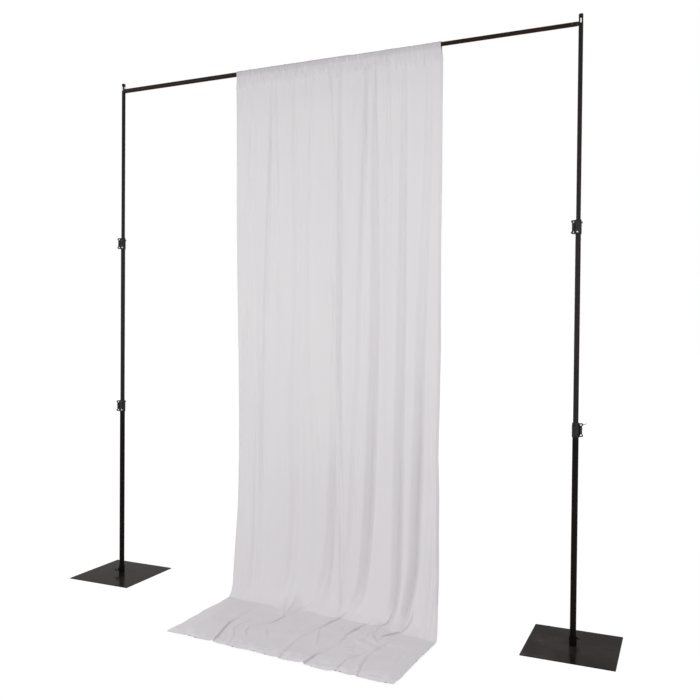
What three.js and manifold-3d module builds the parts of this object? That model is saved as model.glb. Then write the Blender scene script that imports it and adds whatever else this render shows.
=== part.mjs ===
// Pipe and drape backdrop: two telescopic uprights on square steel base plates, a two-part
// crossbar hooked into the slotted heads of the uprights, and one cloth panel hung on the bar.
// Millimetres, +Z up. The floor is Z = 0, X runs along the crossbar, and the cloth's train
// lies towards -Y. The origin is on the floor, at the centre of the whole outline.

import * as THREE from 'three';
import { mergeVertices } from 'three/addons/utils/BufferGeometryUtils.js';
import Module from 'manifold-3d';

const wasm = await Module();
wasm.setup();

// Whole backdrop
const poleSpacing = 2740;
const poleHeight = 3050;

// Fits shared by all pieces
const runGap = 0.3;          // radial play of a piece in its bore
const seatGap = 0.3;         // space between a piece and its seat
const overrun = 2;           // how far a cutting tool runs past the wall that it cuts
const weldDistance = 0.0001; // points closer than this are one point
const roundSides = 24;
const smallSides = 12;
const hexSides = 6;

// Base plate with its socket and clamping screw
const leftBaseTurn = 251;    // degrees, the way the wing screw points
const rightBaseTurn = 71;
const plateSide = 432;
const plateThick = 4;
const plateCornerRadius = 3;
const socketHeight = 50;
const socketWall = 2.7;
const socketWeldLeg = 3.5;
const screwHeight = 27;      // above the plate
const screwRadius = 4;
const screwBossRadius = 7.5;
const screwBossLength = 8;   // beyond the socket's wall
const screwHubRadius = 6;
const screwHubLength = 8;
const screwHubStandOff = 2;
const wingSpan = 15;
const wingHeight = 7;
const wingThick = 3;
const wingLean = 0.45;       // radians that each wing leans outwards

// Telescopic tubes of an upright
const tubeWall = 1.2;
const lowerTubeDiameter = 30;
const midTubeDiameter = 26;
const topTubeDiameter = 22;
const midTubeOverlap = 121;  // how far the left upright's mid tube reaches into the lower one
const topTubeOverlap = 147;
const plugFlangeLength = 12;
const plugSpigotLength = 20;

// Flip-lock clamps
const lowerClampHeight = 1053;
const upperClampHeight = 2062;
const rightMidTubeDrop = 30; // the right upright's mid tube is pushed in further
const leftLowerClampTurn = 207;  // degrees, the way the ears point
const leftUpperClampTurn = 207;
const rightLowerClampTurn = 5;
const rightUpperClampTurn = 172;
const clampHeight = 70;
const clampWall = 3;
const clampTubeReach = 20;   // how far the wider tube runs above the clamp's middle
const clampShoulderReach = 24;
const clampSplit = 3;
const earReach = 17;         // beyond the sleeve
const earWaistReach = 12.5;
const earHalfThick = 8;
const earHeight = 66;
const earHornHeight = 13;
const earBevel = 4;
const earRoot = 4;           // how deep the ears start inside the sleeve
const windowRadius = 4.5;
const windowRise = 24.5;
const windowReach = 7;       // beyond the sleeve
const boltRadius = 2.5;
const boltReach = 6;         // beyond the sleeve
const boltTail = 2;
const eyeRadius = 5;
const eyeHeight = 9;
const pinRadius = 2;
const pinOverhang = 2;
const nutRadius = 5.8;
const nutThick = 5;
const leverHeight = 56;
const leverRootHeight = 36;  // beside the ears, between their windows
const leverThick = 4;
const leverClear = 2.5;
const leverStart = -0.52;    // radians round the pole, from the ears
const leverRootEnd = -1.15;
const leverEnd = -2.1;
const lipReach = 6;
const lipHeight = 9;
const lipAngle = 0.14;
const barrelRadius = 6;
const barrelClear = 1;
const fixingRadius = 2;      // the screw that holds the collar on the wider tube
const fixingHeadRadius = 4;
const fixingHeadHeight = 2;
const fixingDrop = 25;       // below the clamp's middle
const tabReach = 17;         // the thin tab on top of one clamp's ears
const tabThick = 2.4;
const tabWidth = 9;
const tabTilt = 0.38;
const tabDrop = 6;
const tabRoot = 10;

// Slotted head and its cap
const headLength = 71;
const headSpigotLength = 30;
const headSpigotWall = 1.6;
const slotWidth = 8;
const slotHeight = 30;
const slotDrop = 44;         // the foot of the slots, below the pole's top
const capThick = 4;
const capEdgeRadius = 1.5;
const capSpigotLength = 5;

// Crossbar
const barDrop = 1;           // the bar's axis, below the foot of the slots
const barOuterDiameter = 26;
const barInnerDiameter = 22;
const barOuterLength = 1500;
const barInnerOverlap = 400;
const leftBarGap = 3;        // between the pole and the end flange of the bar
const rightBarGap = 6;
const mouthRingWall = 1;
const mouthRingLength = 14;
const mouthRingLip = 2;
const hookFlangeThick = 2;
const hookPlugLength = 38;
const hookBladeThick = 5;
const hookBladeHeight = 9;
const hookLipThick = 4.5;
const hookLipDrop = 10;
const hookLipClear = 0.6;    // between the lip and the inside of the pole
const rivetRadius = 2;
const rivetHeadRadius = 4;
const rivetHeadHeight = 1.4;
const rivetInset = 20;

// Cloth panel: a rod pocket, a hanging part with soft folds, and a train on the floor
const clothThick = 2.4;
const clothWidth = 1216;     // along the bar
const clothOffset = 68;      // of the panel's middle from the middle between the poles
const pocketDepth = 95;      // from the bar's axis to the pocket's seam
const pocketClear = 0.3;
const pocketArcSteps = 4;
const leftFloorReach = 68;   // how far in front of the bar the cloth meets the floor
const rightFloorReach = 210;
const leftFlareHeight = 300; // where the cloth starts to lean forwards
const rightFlareHeight = 800;
const leftHemReach = 640;
const rightHemReach = 754;
const wrinkleHeight = 14;
const trainTop = 24;         // the cloth below this height is the train
const clothColumns = 31;

// Worked out from the sizes above
const lowerTubeRadius = lowerTubeDiameter / 2;
const midTubeRadius = midTubeDiameter / 2;
const topTubeRadius = topTubeDiameter / 2;
const barOuterRadius = barOuterDiameter / 2;
const barInnerRadius = barInnerDiameter / 2;
const mouthRingRadius = barOuterRadius + runGap + mouthRingWall;
const headFoot = poleHeight - capThick - headLength;
const slotFoot = poleHeight - slotDrop;
const barHeight = slotFoot - barDrop;
const midTubeLength = upperClampHeight - lowerClampHeight + midTubeOverlap;
const topTubeLength = headFoot - upperClampHeight - clampTubeReach + topTubeOverlap;
const quarterTurn = Math.PI / 2;
const halfTurn = Math.PI;
// The cloth's hem reaches further forwards than the plates reach back.
const poleLine = (Math.max(leftHemReach, rightHemReach) - plateSide / 2) / 2;

const blackTube = new THREE.MeshStandardMaterial({ color: 0x2e2927, roughness: 0.38, metalness: 0.3 });
const plateEnamel = new THREE.MeshStandardMaterial({ color: 0x3c3634, roughness: 0.16, metalness: 0.2 });
const clampPlastic = new THREE.MeshStandardMaterial({ color: 0x1f1e1e, roughness: 0.45, metalness: 0 });
const nylon = new THREE.MeshStandardMaterial({ color: 0x2a2a2b, roughness: 0.6, metalness: 0 });
const zincSteel = new THREE.MeshStandardMaterial({ color: 0xa3a19d, roughness: 0.35, metalness: 0.9 });
const whiteCloth = new THREE.MeshStandardMaterial({ color: 0xdad6da, roughness: 0.9, metalness: 0 });

// Joins shared points, drops triangles that have no area and turns the faces outwards.
function closed(geometry) {
  geometry.deleteAttribute('normal');
  geometry.deleteAttribute('uv');
  const merged = mergeVertices(geometry, weldDistance);
  const index = merged.index.array;
  const kept = [];
  for (let i = 0; i < index.length; i += 3) {
    const [a, b, c] = [index[i], index[i + 1], index[i + 2]];
    if (a !== b && b !== c && c !== a) kept.push(a, b, c);
  }
  const at = merged.attributes.position;
  const [p, q, r] = [new THREE.Vector3(), new THREE.Vector3(), new THREE.Vector3()];
  let volume = 0;
  for (let i = 0; i < kept.length; i += 3) {
    p.fromBufferAttribute(at, kept[i]);
    q.fromBufferAttribute(at, kept[i + 1]);
    r.fromBufferAttribute(at, kept[i + 2]);
    volume += p.dot(q.cross(r));
  }
  merged.setIndex(volume < 0 ? kept.reverse() : kept);
  return merged;
}

function solid(geometry) {
  return new wasm.Manifold(new wasm.Mesh({
    numProp: 3,
    vertProperties: new Float32Array(geometry.attributes.position.array),
    triVerts: new Uint32Array(geometry.index.array),
  }));
}

function geometryOf(manifold) {
  const mesh = manifold.getMesh();
  const geometry = new THREE.BufferGeometry();
  geometry.setAttribute('position', new THREE.BufferAttribute(mesh.vertProperties, 3));
  geometry.setIndex(new THREE.BufferAttribute(mesh.triVerts, 1));
  return geometry;
}

function joined(...pieces) {
  return geometryOf(pieces.map(solid).reduce((whole, piece) => whole.add(piece)));
}

function cut(piece, ...tools) {
  return geometryOf(tools.map(solid).reduce((rest, tool) => rest.subtract(tool), solid(piece)));
}

// A body turned about Z from [radius, height] points.
function turned(points, sides = roundSides) {
  const profile = points.map(([radius, height]) => new THREE.Vector2(radius, height));
  return closed(new THREE.LatheGeometry(profile, sides).rotateX(quarterTurn));
}

function pipe(outerRadius, innerRadius, length) {
  return turned([
    [innerRadius, 0], [outerRadius, 0], [outerRadius, length], [innerRadius, length], [innerRadius, 0],
  ]);
}

// A round bar along +Z that starts at the origin.
function rod(radius, length, sides = smallSides) {
  return closed(new THREE.CylinderGeometry(radius, radius, length, sides)
    .rotateX(quarterTurn).translate(0, 0, length / 2));
}

function block(low, high) {
  const size = high.map((value, i) => value - low[i]);
  const middle = high.map((value, i) => (value + low[i]) / 2);
  return closed(new THREE.BoxGeometry(...size).translate(...middle));
}

function plateOf(shape, thick, curveSteps = smallSides) {
  return closed(new THREE.ExtrudeGeometry(shape, {
    depth: thick, bevelEnabled: false, steps: 1, curveSegments: curveSteps,
  }));
}

function piece(name, geometry, material, parent) {
  const mesh = new THREE.Mesh(geometry, material);
  mesh.name = name;
  parent.add(mesh);
  return mesh;
}

function basePlate() {
  const half = plateSide / 2;
  const flat = half - plateCornerRadius;
  const outline = new THREE.Shape();
  outline.absarc(flat, flat, plateCornerRadius, 0, quarterTurn);
  outline.absarc(-flat, flat, plateCornerRadius, quarterTurn, halfTurn);
  outline.absarc(-flat, -flat, plateCornerRadius, halfTurn, halfTurn + quarterTurn);
  outline.absarc(flat, -flat, plateCornerRadius, halfTurn + quarterTurn, halfTurn + halfTurn);
  const cornerSteps = 3;
  return plateOf(outline, plateThick, cornerSteps);
}

const socketBore = lowerTubeRadius + runGap;
const socketRadius = socketBore + socketWall;
const bossEnd = socketRadius + screwBossLength;

function baseSocket() {
  const wall = turned([
    [0, 0], [socketRadius + socketWeldLeg, 0], [socketRadius, socketWeldLeg],
    [socketRadius, socketHeight], [0, socketHeight],
  ]);
  const boss = rod(screwBossRadius, bossEnd).rotateY(quarterTurn).translate(0, 0, screwHeight);
  const bore = rod(socketBore, socketHeight + 2 * overrun, roundSides).translate(0, 0, -overrun);
  const thread = rod(screwRadius + runGap, bossEnd + overrun)
    .rotateY(quarterTurn).translate(0, 0, screwHeight);
  return cut(joined(wall, boss), bore, thread);
}

// The screw lies along +X, with its tip against the lower tube.
function wingScrew() {
  const tip = lowerTubeRadius + runGap;
  const hubStart = bossEnd + screwHubStandOff;
  const hubEnd = hubStart + screwHubLength;
  const shank = rod(screwRadius, hubStart + screwHubLength / 2 - tip)
    .rotateY(quarterTurn).translate(tip, 0, 0);
  const hub = rod(screwHubRadius, screwHubLength).rotateY(quarterTurn).translate(hubStart, 0, 0);
  const lobe = new THREE.Shape();
  lobe.absellipse(0, wingSpan / 2, wingHeight, wingSpan / 2 + wingThick, 0, 2 * halfTurn);
  const wings = [1, -1].map((side) => plateOf(lobe, wingThick, smallSides / 2)
    .rotateY(quarterTurn)
    .translate(-wingThick / 2, 0, 0)
    .rotateZ(-wingLean)
    .rotateX(side > 0 ? 0 : halfTurn)
    .translate(hubEnd - wingThick, 0, 0));
  return joined(shank, hub, ...wings);
}

// A flanged plug that closes the foot of a tube and guides it in the wider tube.
function footPlug(outerTubeRadius, innerTubeRadius) {
  const flange = outerTubeRadius - tubeWall - runGap;
  const spigot = innerTubeRadius - tubeWall - runGap;
  return turned([
    [0, -plugFlangeLength], [flange, -plugFlangeLength], [flange, -seatGap],
    [spigot, -seatGap], [spigot, plugSpigotLength], [0, plugSpigotLength],
  ]);
}

// A clamp's own frame: the pole is the Z axis, Z = 0 is mid-height, and the ears point to +X.
function clampSizes(outerTubeRadius, innerTubeRadius) {
  const sleeve = outerTubeRadius + clampWall;
  return {
    sleeve,
    bore: outerTubeRadius + runGap,
    neck: innerTubeRadius + clampWall,
    neckBore: innerTubeRadius + runGap,
    boltX: sleeve + boltReach,
    pivotY: -(earHalfThick + barrelClear + barrelRadius),
    arm: sleeve + leverClear,
    tubeInside: outerTubeRadius - tubeWall,
  };
}

// The hole of the fixing screw, along +Y from the pole's middle, through collar and tube.
function fixingHole(length) {
  return rod(fixingRadius + runGap, length).rotateX(-quarterTurn).translate(0, 0, -fixingDrop);
}

function clampCollar(sizes, withTab) {
  const top = clampHeight / 2;
  const step = clampTubeReach + seatGap;
  const body = turned([
    [0, -top], [sizes.sleeve, -top], [sizes.sleeve, clampShoulderReach], [sizes.neck, top], [0, top],
  ]);
  const bore = turned([
    [0, -top - overrun], [sizes.bore, -top - overrun], [sizes.bore, step],
    [sizes.neckBore, step], [sizes.neckBore, top + overrun], [0, top + overrun],
  ]);
  const root = sizes.sleeve - earRoot;
  const horn = sizes.sleeve + earReach;
  const waist = sizes.sleeve + earWaistReach;
  const high = earHeight / 2;
  const low = high - earHornHeight;
  const outline = new THREE.Shape([
    [root, -high], [horn - earBevel, -high], [horn, earBevel - high], [horn, -low - earBevel],
    [waist, -low], [waist, low], [horn, low + earBevel], [horn, high - earBevel],
    [horn - earBevel, high], [root, high],
  ].map(([x, z]) => new THREE.Vector2(x, z)));
  const ears = plateOf(outline, 2 * earHalfThick).rotateX(quarterTurn).translate(0, earHalfThick, 0);
  const across = 2 * (earHalfThick + overrun);
  const holeAt = (radius, x, z) => rod(radius, across)
    .rotateX(quarterTurn).translate(x, across / 2, z);
  const split = block(
    [0, -clampSplit / 2, -top - overrun],
    [horn + overrun, clampSplit / 2, high - tabDrop - tabThick],
  );
  const tab = block([-tabRoot, -tabWidth / 2, -tabThick], [tabReach, tabWidth / 2, 0])
    .rotateY(-tabTilt).translate(horn, 0, high - tabDrop);
  const collar = cut(
    joined(body, ears), bore, split,
    holeAt(windowRadius, sizes.sleeve + windowReach, windowRise),
    holeAt(windowRadius, sizes.sleeve + windowReach, -windowRise),
    holeAt(boltRadius + runGap, sizes.boltX, 0),
    fixingHole(sizes.sleeve + overrun),
  );
  return withTab ? joined(collar, tab) : collar;
}

// The screw that holds the collar on the wider tube, with its head on the collar's +Y side.
function clampFixing(sizes) {
  const under = sizes.sleeve + seatGap;
  const top = under + fixingHeadHeight;
  return turned([
    [0, sizes.tubeInside + seatGap], [fixingRadius, sizes.tubeInside + seatGap],
    [fixingRadius, under], [fixingHeadRadius, under], [fixingHeadRadius, under + fixingHeadHeight / 2],
    [fixingHeadRadius * 0.6, top], [0, top],
  ], smallSides).rotateX(-quarterTurn).translate(0, 0, -fixingDrop);
}

function clampLever(sizes) {
  const arc = (from, to, thick, foot, top) => {
    const shape = new THREE.Shape();
    shape.absarc(0, 0, sizes.arm + thick, from, to, true);
    shape.absarc(0, 0, sizes.arm, to, from, false);
    return plateOf(shape, top - foot, smallSides / 2).translate(0, 0, foot);
  };
  const atPivot = (radius, height) => rod(radius, height)
    .translate(sizes.boltX, sizes.pivotY, -height / 2);
  const rootHalf = leverRootHeight / 2;
  const half = leverHeight / 2;
  const root = arc(leverStart, leverRootEnd - lipAngle, leverThick, -rootHalf, rootHalf);
  const arm = arc(leverRootEnd, leverEnd, leverThick, -half, half);
  const lip = arc(leverEnd + lipAngle, leverEnd, leverThick + lipReach, half - lipHeight, half);
  const eyeRoom = atPivot(barrelRadius + barrelClear, eyeHeight + 2 * barrelClear);
  const pinHole = atPivot(pinRadius + runGap, leverRootHeight + 2 * overrun);
  return cut(joined(root, arm, lip, atPivot(barrelRadius, leverRootHeight)), eyeRoom, pinHole);
}

function clampPin(sizes) {
  const length = leverRootHeight + 2 * pinOverhang;
  return rod(pinRadius, length).translate(sizes.boltX, sizes.pivotY, -length / 2);
}

// The eye sits on the lever's pin and the shank draws both ears together.
function clampEyeBolt(sizes) {
  const end = earHalfThick + seatGap + nutThick + boltTail;
  const eye = rod(eyeRadius, eyeHeight).translate(sizes.boltX, sizes.pivotY, -eyeHeight / 2);
  const shank = rod(boltRadius, end - sizes.pivotY)
    .rotateX(-quarterTurn).translate(sizes.boltX, sizes.pivotY, 0);
  const hole = rod(pinRadius + runGap, eyeHeight + 2 * overrun)
    .translate(sizes.boltX, sizes.pivotY, -eyeHeight / 2 - overrun);
  return cut(joined(eye, shank), hole);
}

function clampNut(sizes) {
  const body = rod(nutRadius, nutThick, hexSides);
  const hole = rod(boltRadius + runGap, nutThick + 2 * overrun).translate(0, 0, -overrun);
  return cut(body, hole).rotateX(-quarterTurn)
    .translate(sizes.boltX, earHalfThick + seatGap, 0);
}

function addClamp(name, sizes, place, parent) {
  const clamp = new THREE.Group();
  clamp.position.z = place.height;
  clamp.rotation.z = THREE.MathUtils.degToRad(place.turn);
  piece(`${name}_collar`, clampCollar(sizes, place.tab), clampPlastic, clamp);
  piece(`${name}_lever`, clampLever(sizes), clampPlastic, clamp);
  piece(`${name}_pin`, clampPin(sizes), zincSteel, clamp);
  piece(`${name}_eye_bolt`, clampEyeBolt(sizes), zincSteel, clamp);
  piece(`${name}_nut`, clampNut(sizes), zincSteel, clamp);
  piece(`${name}_screw`, clampFixing(sizes), zincSteel, clamp);
  parent.add(clamp);
}

// The crown of an upright, with four slots that take the hooks of crossbars.
function slottedHead() {
  const inside = topTubeRadius - tubeWall;
  const spigot = inside - runGap;
  const spigotBore = spigot - headSpigotWall;
  const wall = turned([
    [spigotBore, -headSpigotLength], [spigot, -headSpigotLength], [spigot, 0], [topTubeRadius, 0],
    [topTubeRadius, headLength], [inside, headLength], [inside, headSpigotWall],
    [spigotBore, headSpigotWall], [spigotBore, -headSpigotLength],
  ]);
  const foot = slotFoot - headFoot;
  const reach = topTubeRadius + overrun;
  const slots = [0, quarterTurn].map((turn) => block(
    [-reach, -slotWidth / 2, foot],
    [reach, slotWidth / 2, foot + slotHeight],
  ).rotateZ(turn));
  return cut(wall, ...slots);
}

function headCap() {
  const spigot = topTubeRadius - tubeWall - runGap;
  return turned([
    [0, -capSpigotLength], [spigot, -capSpigotLength], [spigot, 0], [topTubeRadius, 0],
    [topTubeRadius, capThick - capEdgeRadius],
    [topTubeRadius - capEdgeRadius / 3, capThick - capEdgeRadius / 3],
    [topTubeRadius - capEdgeRadius, capThick], [0, capThick],
  ]);
}

// A tube that carries a clamp at its top, with the hole of the clamp's fixing screw.
function clampedTube(radius, length, turn) {
  const hole = fixingHole(radius + overrun)
    .rotateZ(THREE.MathUtils.degToRad(turn)).translate(0, 0, length - clampTubeReach);
  return cut(pipe(radius, radius - tubeWall, length), hole);
}

function addUpright(side, x, baseTurn, lowerClamp, upperClamp, parent) {
  const upright = new THREE.Group();
  upright.position.x = x;
  const name = (what) => `${side}_${what}`;
  const lowerTop = lowerClamp.height + clampTubeReach;
  const lowerFoot = plateThick + seatGap;
  const midTop = upperClamp.height + clampTubeReach;
  const midFoot = midTop - midTubeLength;
  const topFoot = headFoot - topTubeLength;

  piece(name('base_plate'), basePlate(), plateEnamel, upright);
  const base = new THREE.Group();
  base.position.z = plateThick;
  base.rotation.z = THREE.MathUtils.degToRad(baseTurn);
  piece(name('base_socket'), baseSocket(), blackTube, base);
  piece(name('wing_screw'), wingScrew(), zincSteel, base).position.z = screwHeight;
  upright.add(base);

  const lowerTube = clampedTube(lowerTubeRadius, lowerTop - lowerFoot, lowerClamp.turn);
  piece(name('lower_tube'), lowerTube, blackTube, upright).position.z = lowerFoot;
  addClamp(name('lower_clamp'), clampSizes(lowerTubeRadius, midTubeRadius), lowerClamp, upright);

  const midTube = clampedTube(midTubeRadius, midTubeLength, upperClamp.turn);
  piece(name('mid_tube'), midTube, blackTube, upright).position.z = midFoot;
  piece(name('mid_tube_plug'), footPlug(lowerTubeRadius, midTubeRadius), nylon, upright)
    .position.z = midFoot;
  addClamp(name('upper_clamp'), clampSizes(midTubeRadius, topTubeRadius), upperClamp, upright);

  const topTube = pipe(topTubeRadius, topTubeRadius - tubeWall, topTubeLength);
  piece(name('top_tube'), topTube, blackTube, upright).position.z = topFoot;
  piece(name('top_tube_plug'), footPlug(midTubeRadius, topTubeRadius), nylon, upright)
    .position.z = topFoot;
  piece(name('head'), slottedHead(), blackTube, upright).position.z = headFoot;
  piece(name('head_cap'), headCap(), clampPlastic, upright).position.z = poleHeight - capThick;
  parent.add(upright);
}

// A crossbar tube along +X from the origin, with rivet holes through it at one end.
function barTube(radius, length, rivetX) {
  const hole = rod(rivetRadius + runGap, 2 * (radius + overrun))
    .rotateX(quarterTurn).translate(rivetX, radius + overrun, 0);
  return cut(pipe(radius, radius - tubeWall, length).rotateY(quarterTurn), hole);
}

// An end hook: a plug in the tube, a flange on its mouth, a blade through the pole's slot and a
// lip that hangs inside the pole. The tube's mouth is at the origin and the pole is towards -X.
function barHook(radius, gap) {
  const plugRadius = radius - tubeWall - runGap;
  const flangeFace = -seatGap - hookFlangeThick;
  const flangeMiddle = flangeFace + hookFlangeThick / 2;
  const plug = rod(plugRadius, hookPlugLength - flangeMiddle, roundSides)
    .rotateY(quarterTurn).translate(flangeMiddle, 0, 0);
  const flange = rod(radius, hookFlangeThick, roundSides)
    .rotateY(quarterTurn).translate(flangeFace, 0, 0);
  const poleInside = flangeFace - gap - tubeWall;
  const lipFace = poleInside - hookLipClear;
  const bladeFoot = slotFoot + seatGap - barHeight;
  const bladeTop = bladeFoot + hookBladeHeight;
  const half = hookBladeThick / 2;
  const blade = block([lipFace - hookLipThick, -half, bladeFoot], [flangeMiddle, half, bladeTop]);
  const lip = block(
    [lipFace - hookLipThick, -half, bladeFoot - hookLipDrop], [lipFace, half, bladeTop],
  );
  const hole = rod(rivetRadius + runGap, 2 * (radius + overrun))
    .rotateX(quarterTurn).translate(rivetInset, radius + overrun, 0);
  return cut(joined(plug, flange, blade, lip), hole);
}

// The ring round the outer tube's mouth, whose lip lies over the end of the tube.
function mouthRing() {
  const lipTop = seatGap + mouthRingLip;
  const overTube = barOuterRadius + runGap;
  const overBar = barInnerRadius + runGap;
  return turned([
    [overBar, seatGap], [overBar, lipTop], [mouthRingRadius, lipTop],
    [mouthRingRadius, -mouthRingLength], [overTube, -mouthRingLength], [overTube, seatGap],
    [overBar, seatGap],
  ]);
}

// A rivet along Y through tube and plug, with a low domed head at each end.
function rivet(tubeRadius) {
  const under = tubeRadius + seatGap;
  const top = under + rivetHeadHeight;
  const dome = [[rivetHeadRadius, under], [rivetHeadRadius * 0.7, top - rivetHeadHeight / 4], [0, top]];
  const profile = [
    ...dome.map(([radius, height]) => [radius, -height]).reverse(), [rivetRadius, -under],
    [rivetRadius, under], ...dome,
  ];
  return turned(profile, smallSides).rotateX(quarterTurn);
}

function addCrossbar(parent) {
  const bar = new THREE.Group();
  bar.position.z = barHeight;
  const leftMouth = -poleSpacing / 2 + topTubeRadius + leftBarGap + hookFlangeThick + seatGap;
  const rightMouth = poleSpacing / 2 - topTubeRadius - rightBarGap - hookFlangeThick - seatGap;
  const outerEnd = leftMouth + barOuterLength;
  const innerStart = outerEnd - barInnerOverlap;
  const innerLength = rightMouth - innerStart;

  piece('crossbar_outer_tube', barTube(barOuterRadius, barOuterLength, rivetInset), blackTube, bar)
    .position.x = leftMouth;
  piece('crossbar_inner_tube', barTube(barInnerRadius, innerLength, innerLength - rivetInset),
    blackTube, bar).position.x = innerStart;
  piece('crossbar_mouth_ring', mouthRing().rotateY(quarterTurn), nylon, bar).position.x = outerEnd;
  piece('crossbar_guide_plug', footPlug(barOuterRadius, barInnerRadius).rotateY(quarterTurn),
    nylon, bar).position.x = innerStart;

  piece('crossbar_left_hook', barHook(barOuterRadius, leftBarGap), zincSteel, bar)
    .position.x = leftMouth;
  const rightHook = piece('crossbar_right_hook', barHook(barInnerRadius, rightBarGap), zincSteel, bar);
  rightHook.position.x = rightMouth;
  rightHook.rotation.z = halfTurn;
  piece('crossbar_left_rivet', rivet(barOuterRadius), zincSteel, bar)
    .position.x = leftMouth + rivetInset;
  piece('crossbar_right_rivet', rivet(barInnerRadius), zincSteel, bar)
    .position.x = rightMouth - rivetInset;
  parent.add(bar);
}

// Places down the cloth: height above the floor as a share of the bar's height, and how far the
// left and right edges have moved towards +X, as shares of the panel's width.
const hangingShares = [
  { height: 0.7, left: 0.016, right: 0.012 },
  { height: 0.4, left: 0.023, right: 0.012 },
  { height: 0.18, left: 0.027, right: 0.018 },
  { height: 0.075, left: 0.03, right: 0.032 },
  { height: 0.025, left: 0.026, right: 0.045 },
];
const trainTopShares = { left: 0.021, right: 0.056 };
const floorEdgeShares = { left: 0.018, right: 0.061 };
const hemEdgeShares = { left: 0.005, right: 0.04 };
const trainShares = [0.12, 0.5];  // places on the train, from the hanging part to the hem

// Valleys between the folds: place across the panel at the pocket and at the floor, width as a
// share of the panel, and depth at the pocket and at the floor as shares of the deepest one.
const valleyDepth = 34;
const valleyShares = [
  { top: 0.02, foot: 0.03, width: 0.03, deep: 0.35, low: 0.1 },
  { top: 0.2, foot: 0.29, width: 0.035, deep: 0.45, low: 0.2 },
  { top: 0.4, foot: 0.42, width: 0.03, deep: 0.2, low: 0.1 },
  { top: 0.53, foot: 0.5, width: 0.035, deep: 0.5, low: 0.55 },
  { top: 0.68, foot: 0.64, width: 0.04, deep: 0.5, low: 0.75 },
  { top: 0.84, foot: 0.79, width: 0.04, deep: 0.5, low: 1 },
  { top: 0.955, foot: 0.9, width: 0.035, deep: 0.45, low: 0.9 },
];

// How far the cloth lies behind its plain surface, at a place across and a height share.
function valleys(across, heightShare) {
  return valleyShares.reduce((sum, valley) => {
    const place = THREE.MathUtils.lerp(valley.foot, valley.top, heightShare);
    const deep = THREE.MathUtils.lerp(valley.low, valley.deep, heightShare);
    return sum + valleyDepth * deep * Math.exp(-(((across - place) / valley.width) ** 2));
  }, 0);
}

// Gives each point of a line down the cloth the direction of its front face. The line starts
// facing forwards, and its end faces forwards too, or upwards at the hem.
function faced(points, endsUpwards) {
  return points.map((point, i) => {
    if (i === 0) return { ...point, frontY: -1, frontZ: 0 };
    if (i === points.length - 1) {
      return { ...point, frontY: endsUpwards ? 0 : -1, frontZ: endsUpwards ? 1 : 0 };
    }
    const [before, after] = [points[i - 1], points[i + 1]];
    const along = Math.hypot(after.y - before.y, after.z - before.z);
    return {
      ...point, frontY: (after.z - before.z) / along, frontZ: -(after.y - before.y) / along,
    };
  });
}

// The cloth's middle line at one place across: the hanging part, from the pocket's seam to the
// top of the train, and the train, from there to the hem.
function clothLine(across) {
  const floorReach = THREE.MathUtils.lerp(leftFloorReach, rightFloorReach, across);
  const flare = THREE.MathUtils.lerp(leftFlareHeight, rightFlareHeight, across);
  const hemReach = THREE.MathUtils.lerp(leftHemReach, rightHemReach, across);
  const edge = (shares) => clothOffset
    + clothWidth * (across - 0.5 + THREE.MathUtils.lerp(shares.left, shares.right, across));
  const seam = { left: 0, right: 0 };
  const lift = clothThick / 2;
  const hangingPoint = (shares, height) => {
    const share = height / barHeight;
    const behind = valleys(across, share) * Math.min(1, 2 * (1 - share));
    const leaned = floorReach * Math.max(0, 1 - height / flare) ** 2;
    return { x: edge(shares), y: behind - leaned, z: height };
  };
  const hanging = [
    { x: edge(seam), y: 0, z: barHeight - pocketDepth },
    ...hangingShares.map((row) => hangingPoint(row, row.height * barHeight)),
    hangingPoint(trainTopShares, trainTop + seatGap),
  ];
  const train = [
    hangingPoint(trainTopShares, trainTop),
    { x: edge(floorEdgeShares), y: -floorReach, z: lift },
    ...trainShares.map((share) => ({
      x: edge({
        left: THREE.MathUtils.lerp(floorEdgeShares.left, hemEdgeShares.left, share),
        right: THREE.MathUtils.lerp(floorEdgeShares.right, hemEdgeShares.right, share),
      }),
      y: -THREE.MathUtils.lerp(floorReach, hemReach, share),
      z: lift + wrinkleHeight * (1 - share) * valleys(across, 0) / valleyDepth,
    })),
    { x: edge(hemEdgeShares), y: -hemReach, z: lift },
  ];
  return { hanging: faced(hanging, false), train: faced(train, true) };
}

// One closed skin over the columns of a sheet. Each column has an outer loop, whose last points
// are the sheet's back face, and an inner loop where the sheet is a tube. The four-sided faces
// of front and back are split along the same diagonal, so the sheet keeps its thickness.
function skin(outerLoops, innerLoops, backCount) {
  const outerCount = outerLoops[0].length;
  const ring = outerCount + innerLoops[0].length;
  const lastColumn = outerLoops.length - 1;
  const positions = outerLoops.flatMap((loop, i) => [...loop, ...innerLoops[i]]).flat();
  const faces = [];
  for (let column = 0; column < lastColumn; column += 1) {
    for (let k = 0; k < ring; k += 1) {
      const next = k === outerCount - 1 ? 0 : k === ring - 1 ? outerCount : k + 1;
      const [a, b] = [column * ring + k, column * ring + next];
      if (k >= outerCount) faces.push(b, a, a + ring, b, a + ring, b + ring);
      else if (k >= outerCount - backCount) faces.push(a, b, a + ring, b, b + ring, a + ring);
      else faces.push(a, b, b + ring, a, b + ring, a + ring);
    }
  }
  const flat = (loop) => loop.map(([, y, z]) => new THREE.Vector2(y, z));
  for (const [column, flip] of [[0, true], [lastColumn, false]]) {
    const holes = innerLoops[column].length > 0 ? [flat(innerLoops[column])] : [];
    const cap = THREE.ShapeUtils.triangulateShape(flat(outerLoops[column]), holes);
    for (const triangle of cap) {
      const corners = triangle.map((corner) => column * ring + corner);
      faces.push(...(flip ? corners.reverse() : corners));
    }
  }
  const geometry = new THREE.BufferGeometry();
  geometry.setAttribute('position', new THREE.Float32BufferAttribute(positions, 3));
  geometry.setIndex(faces);
  return closed(geometry);
}

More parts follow.
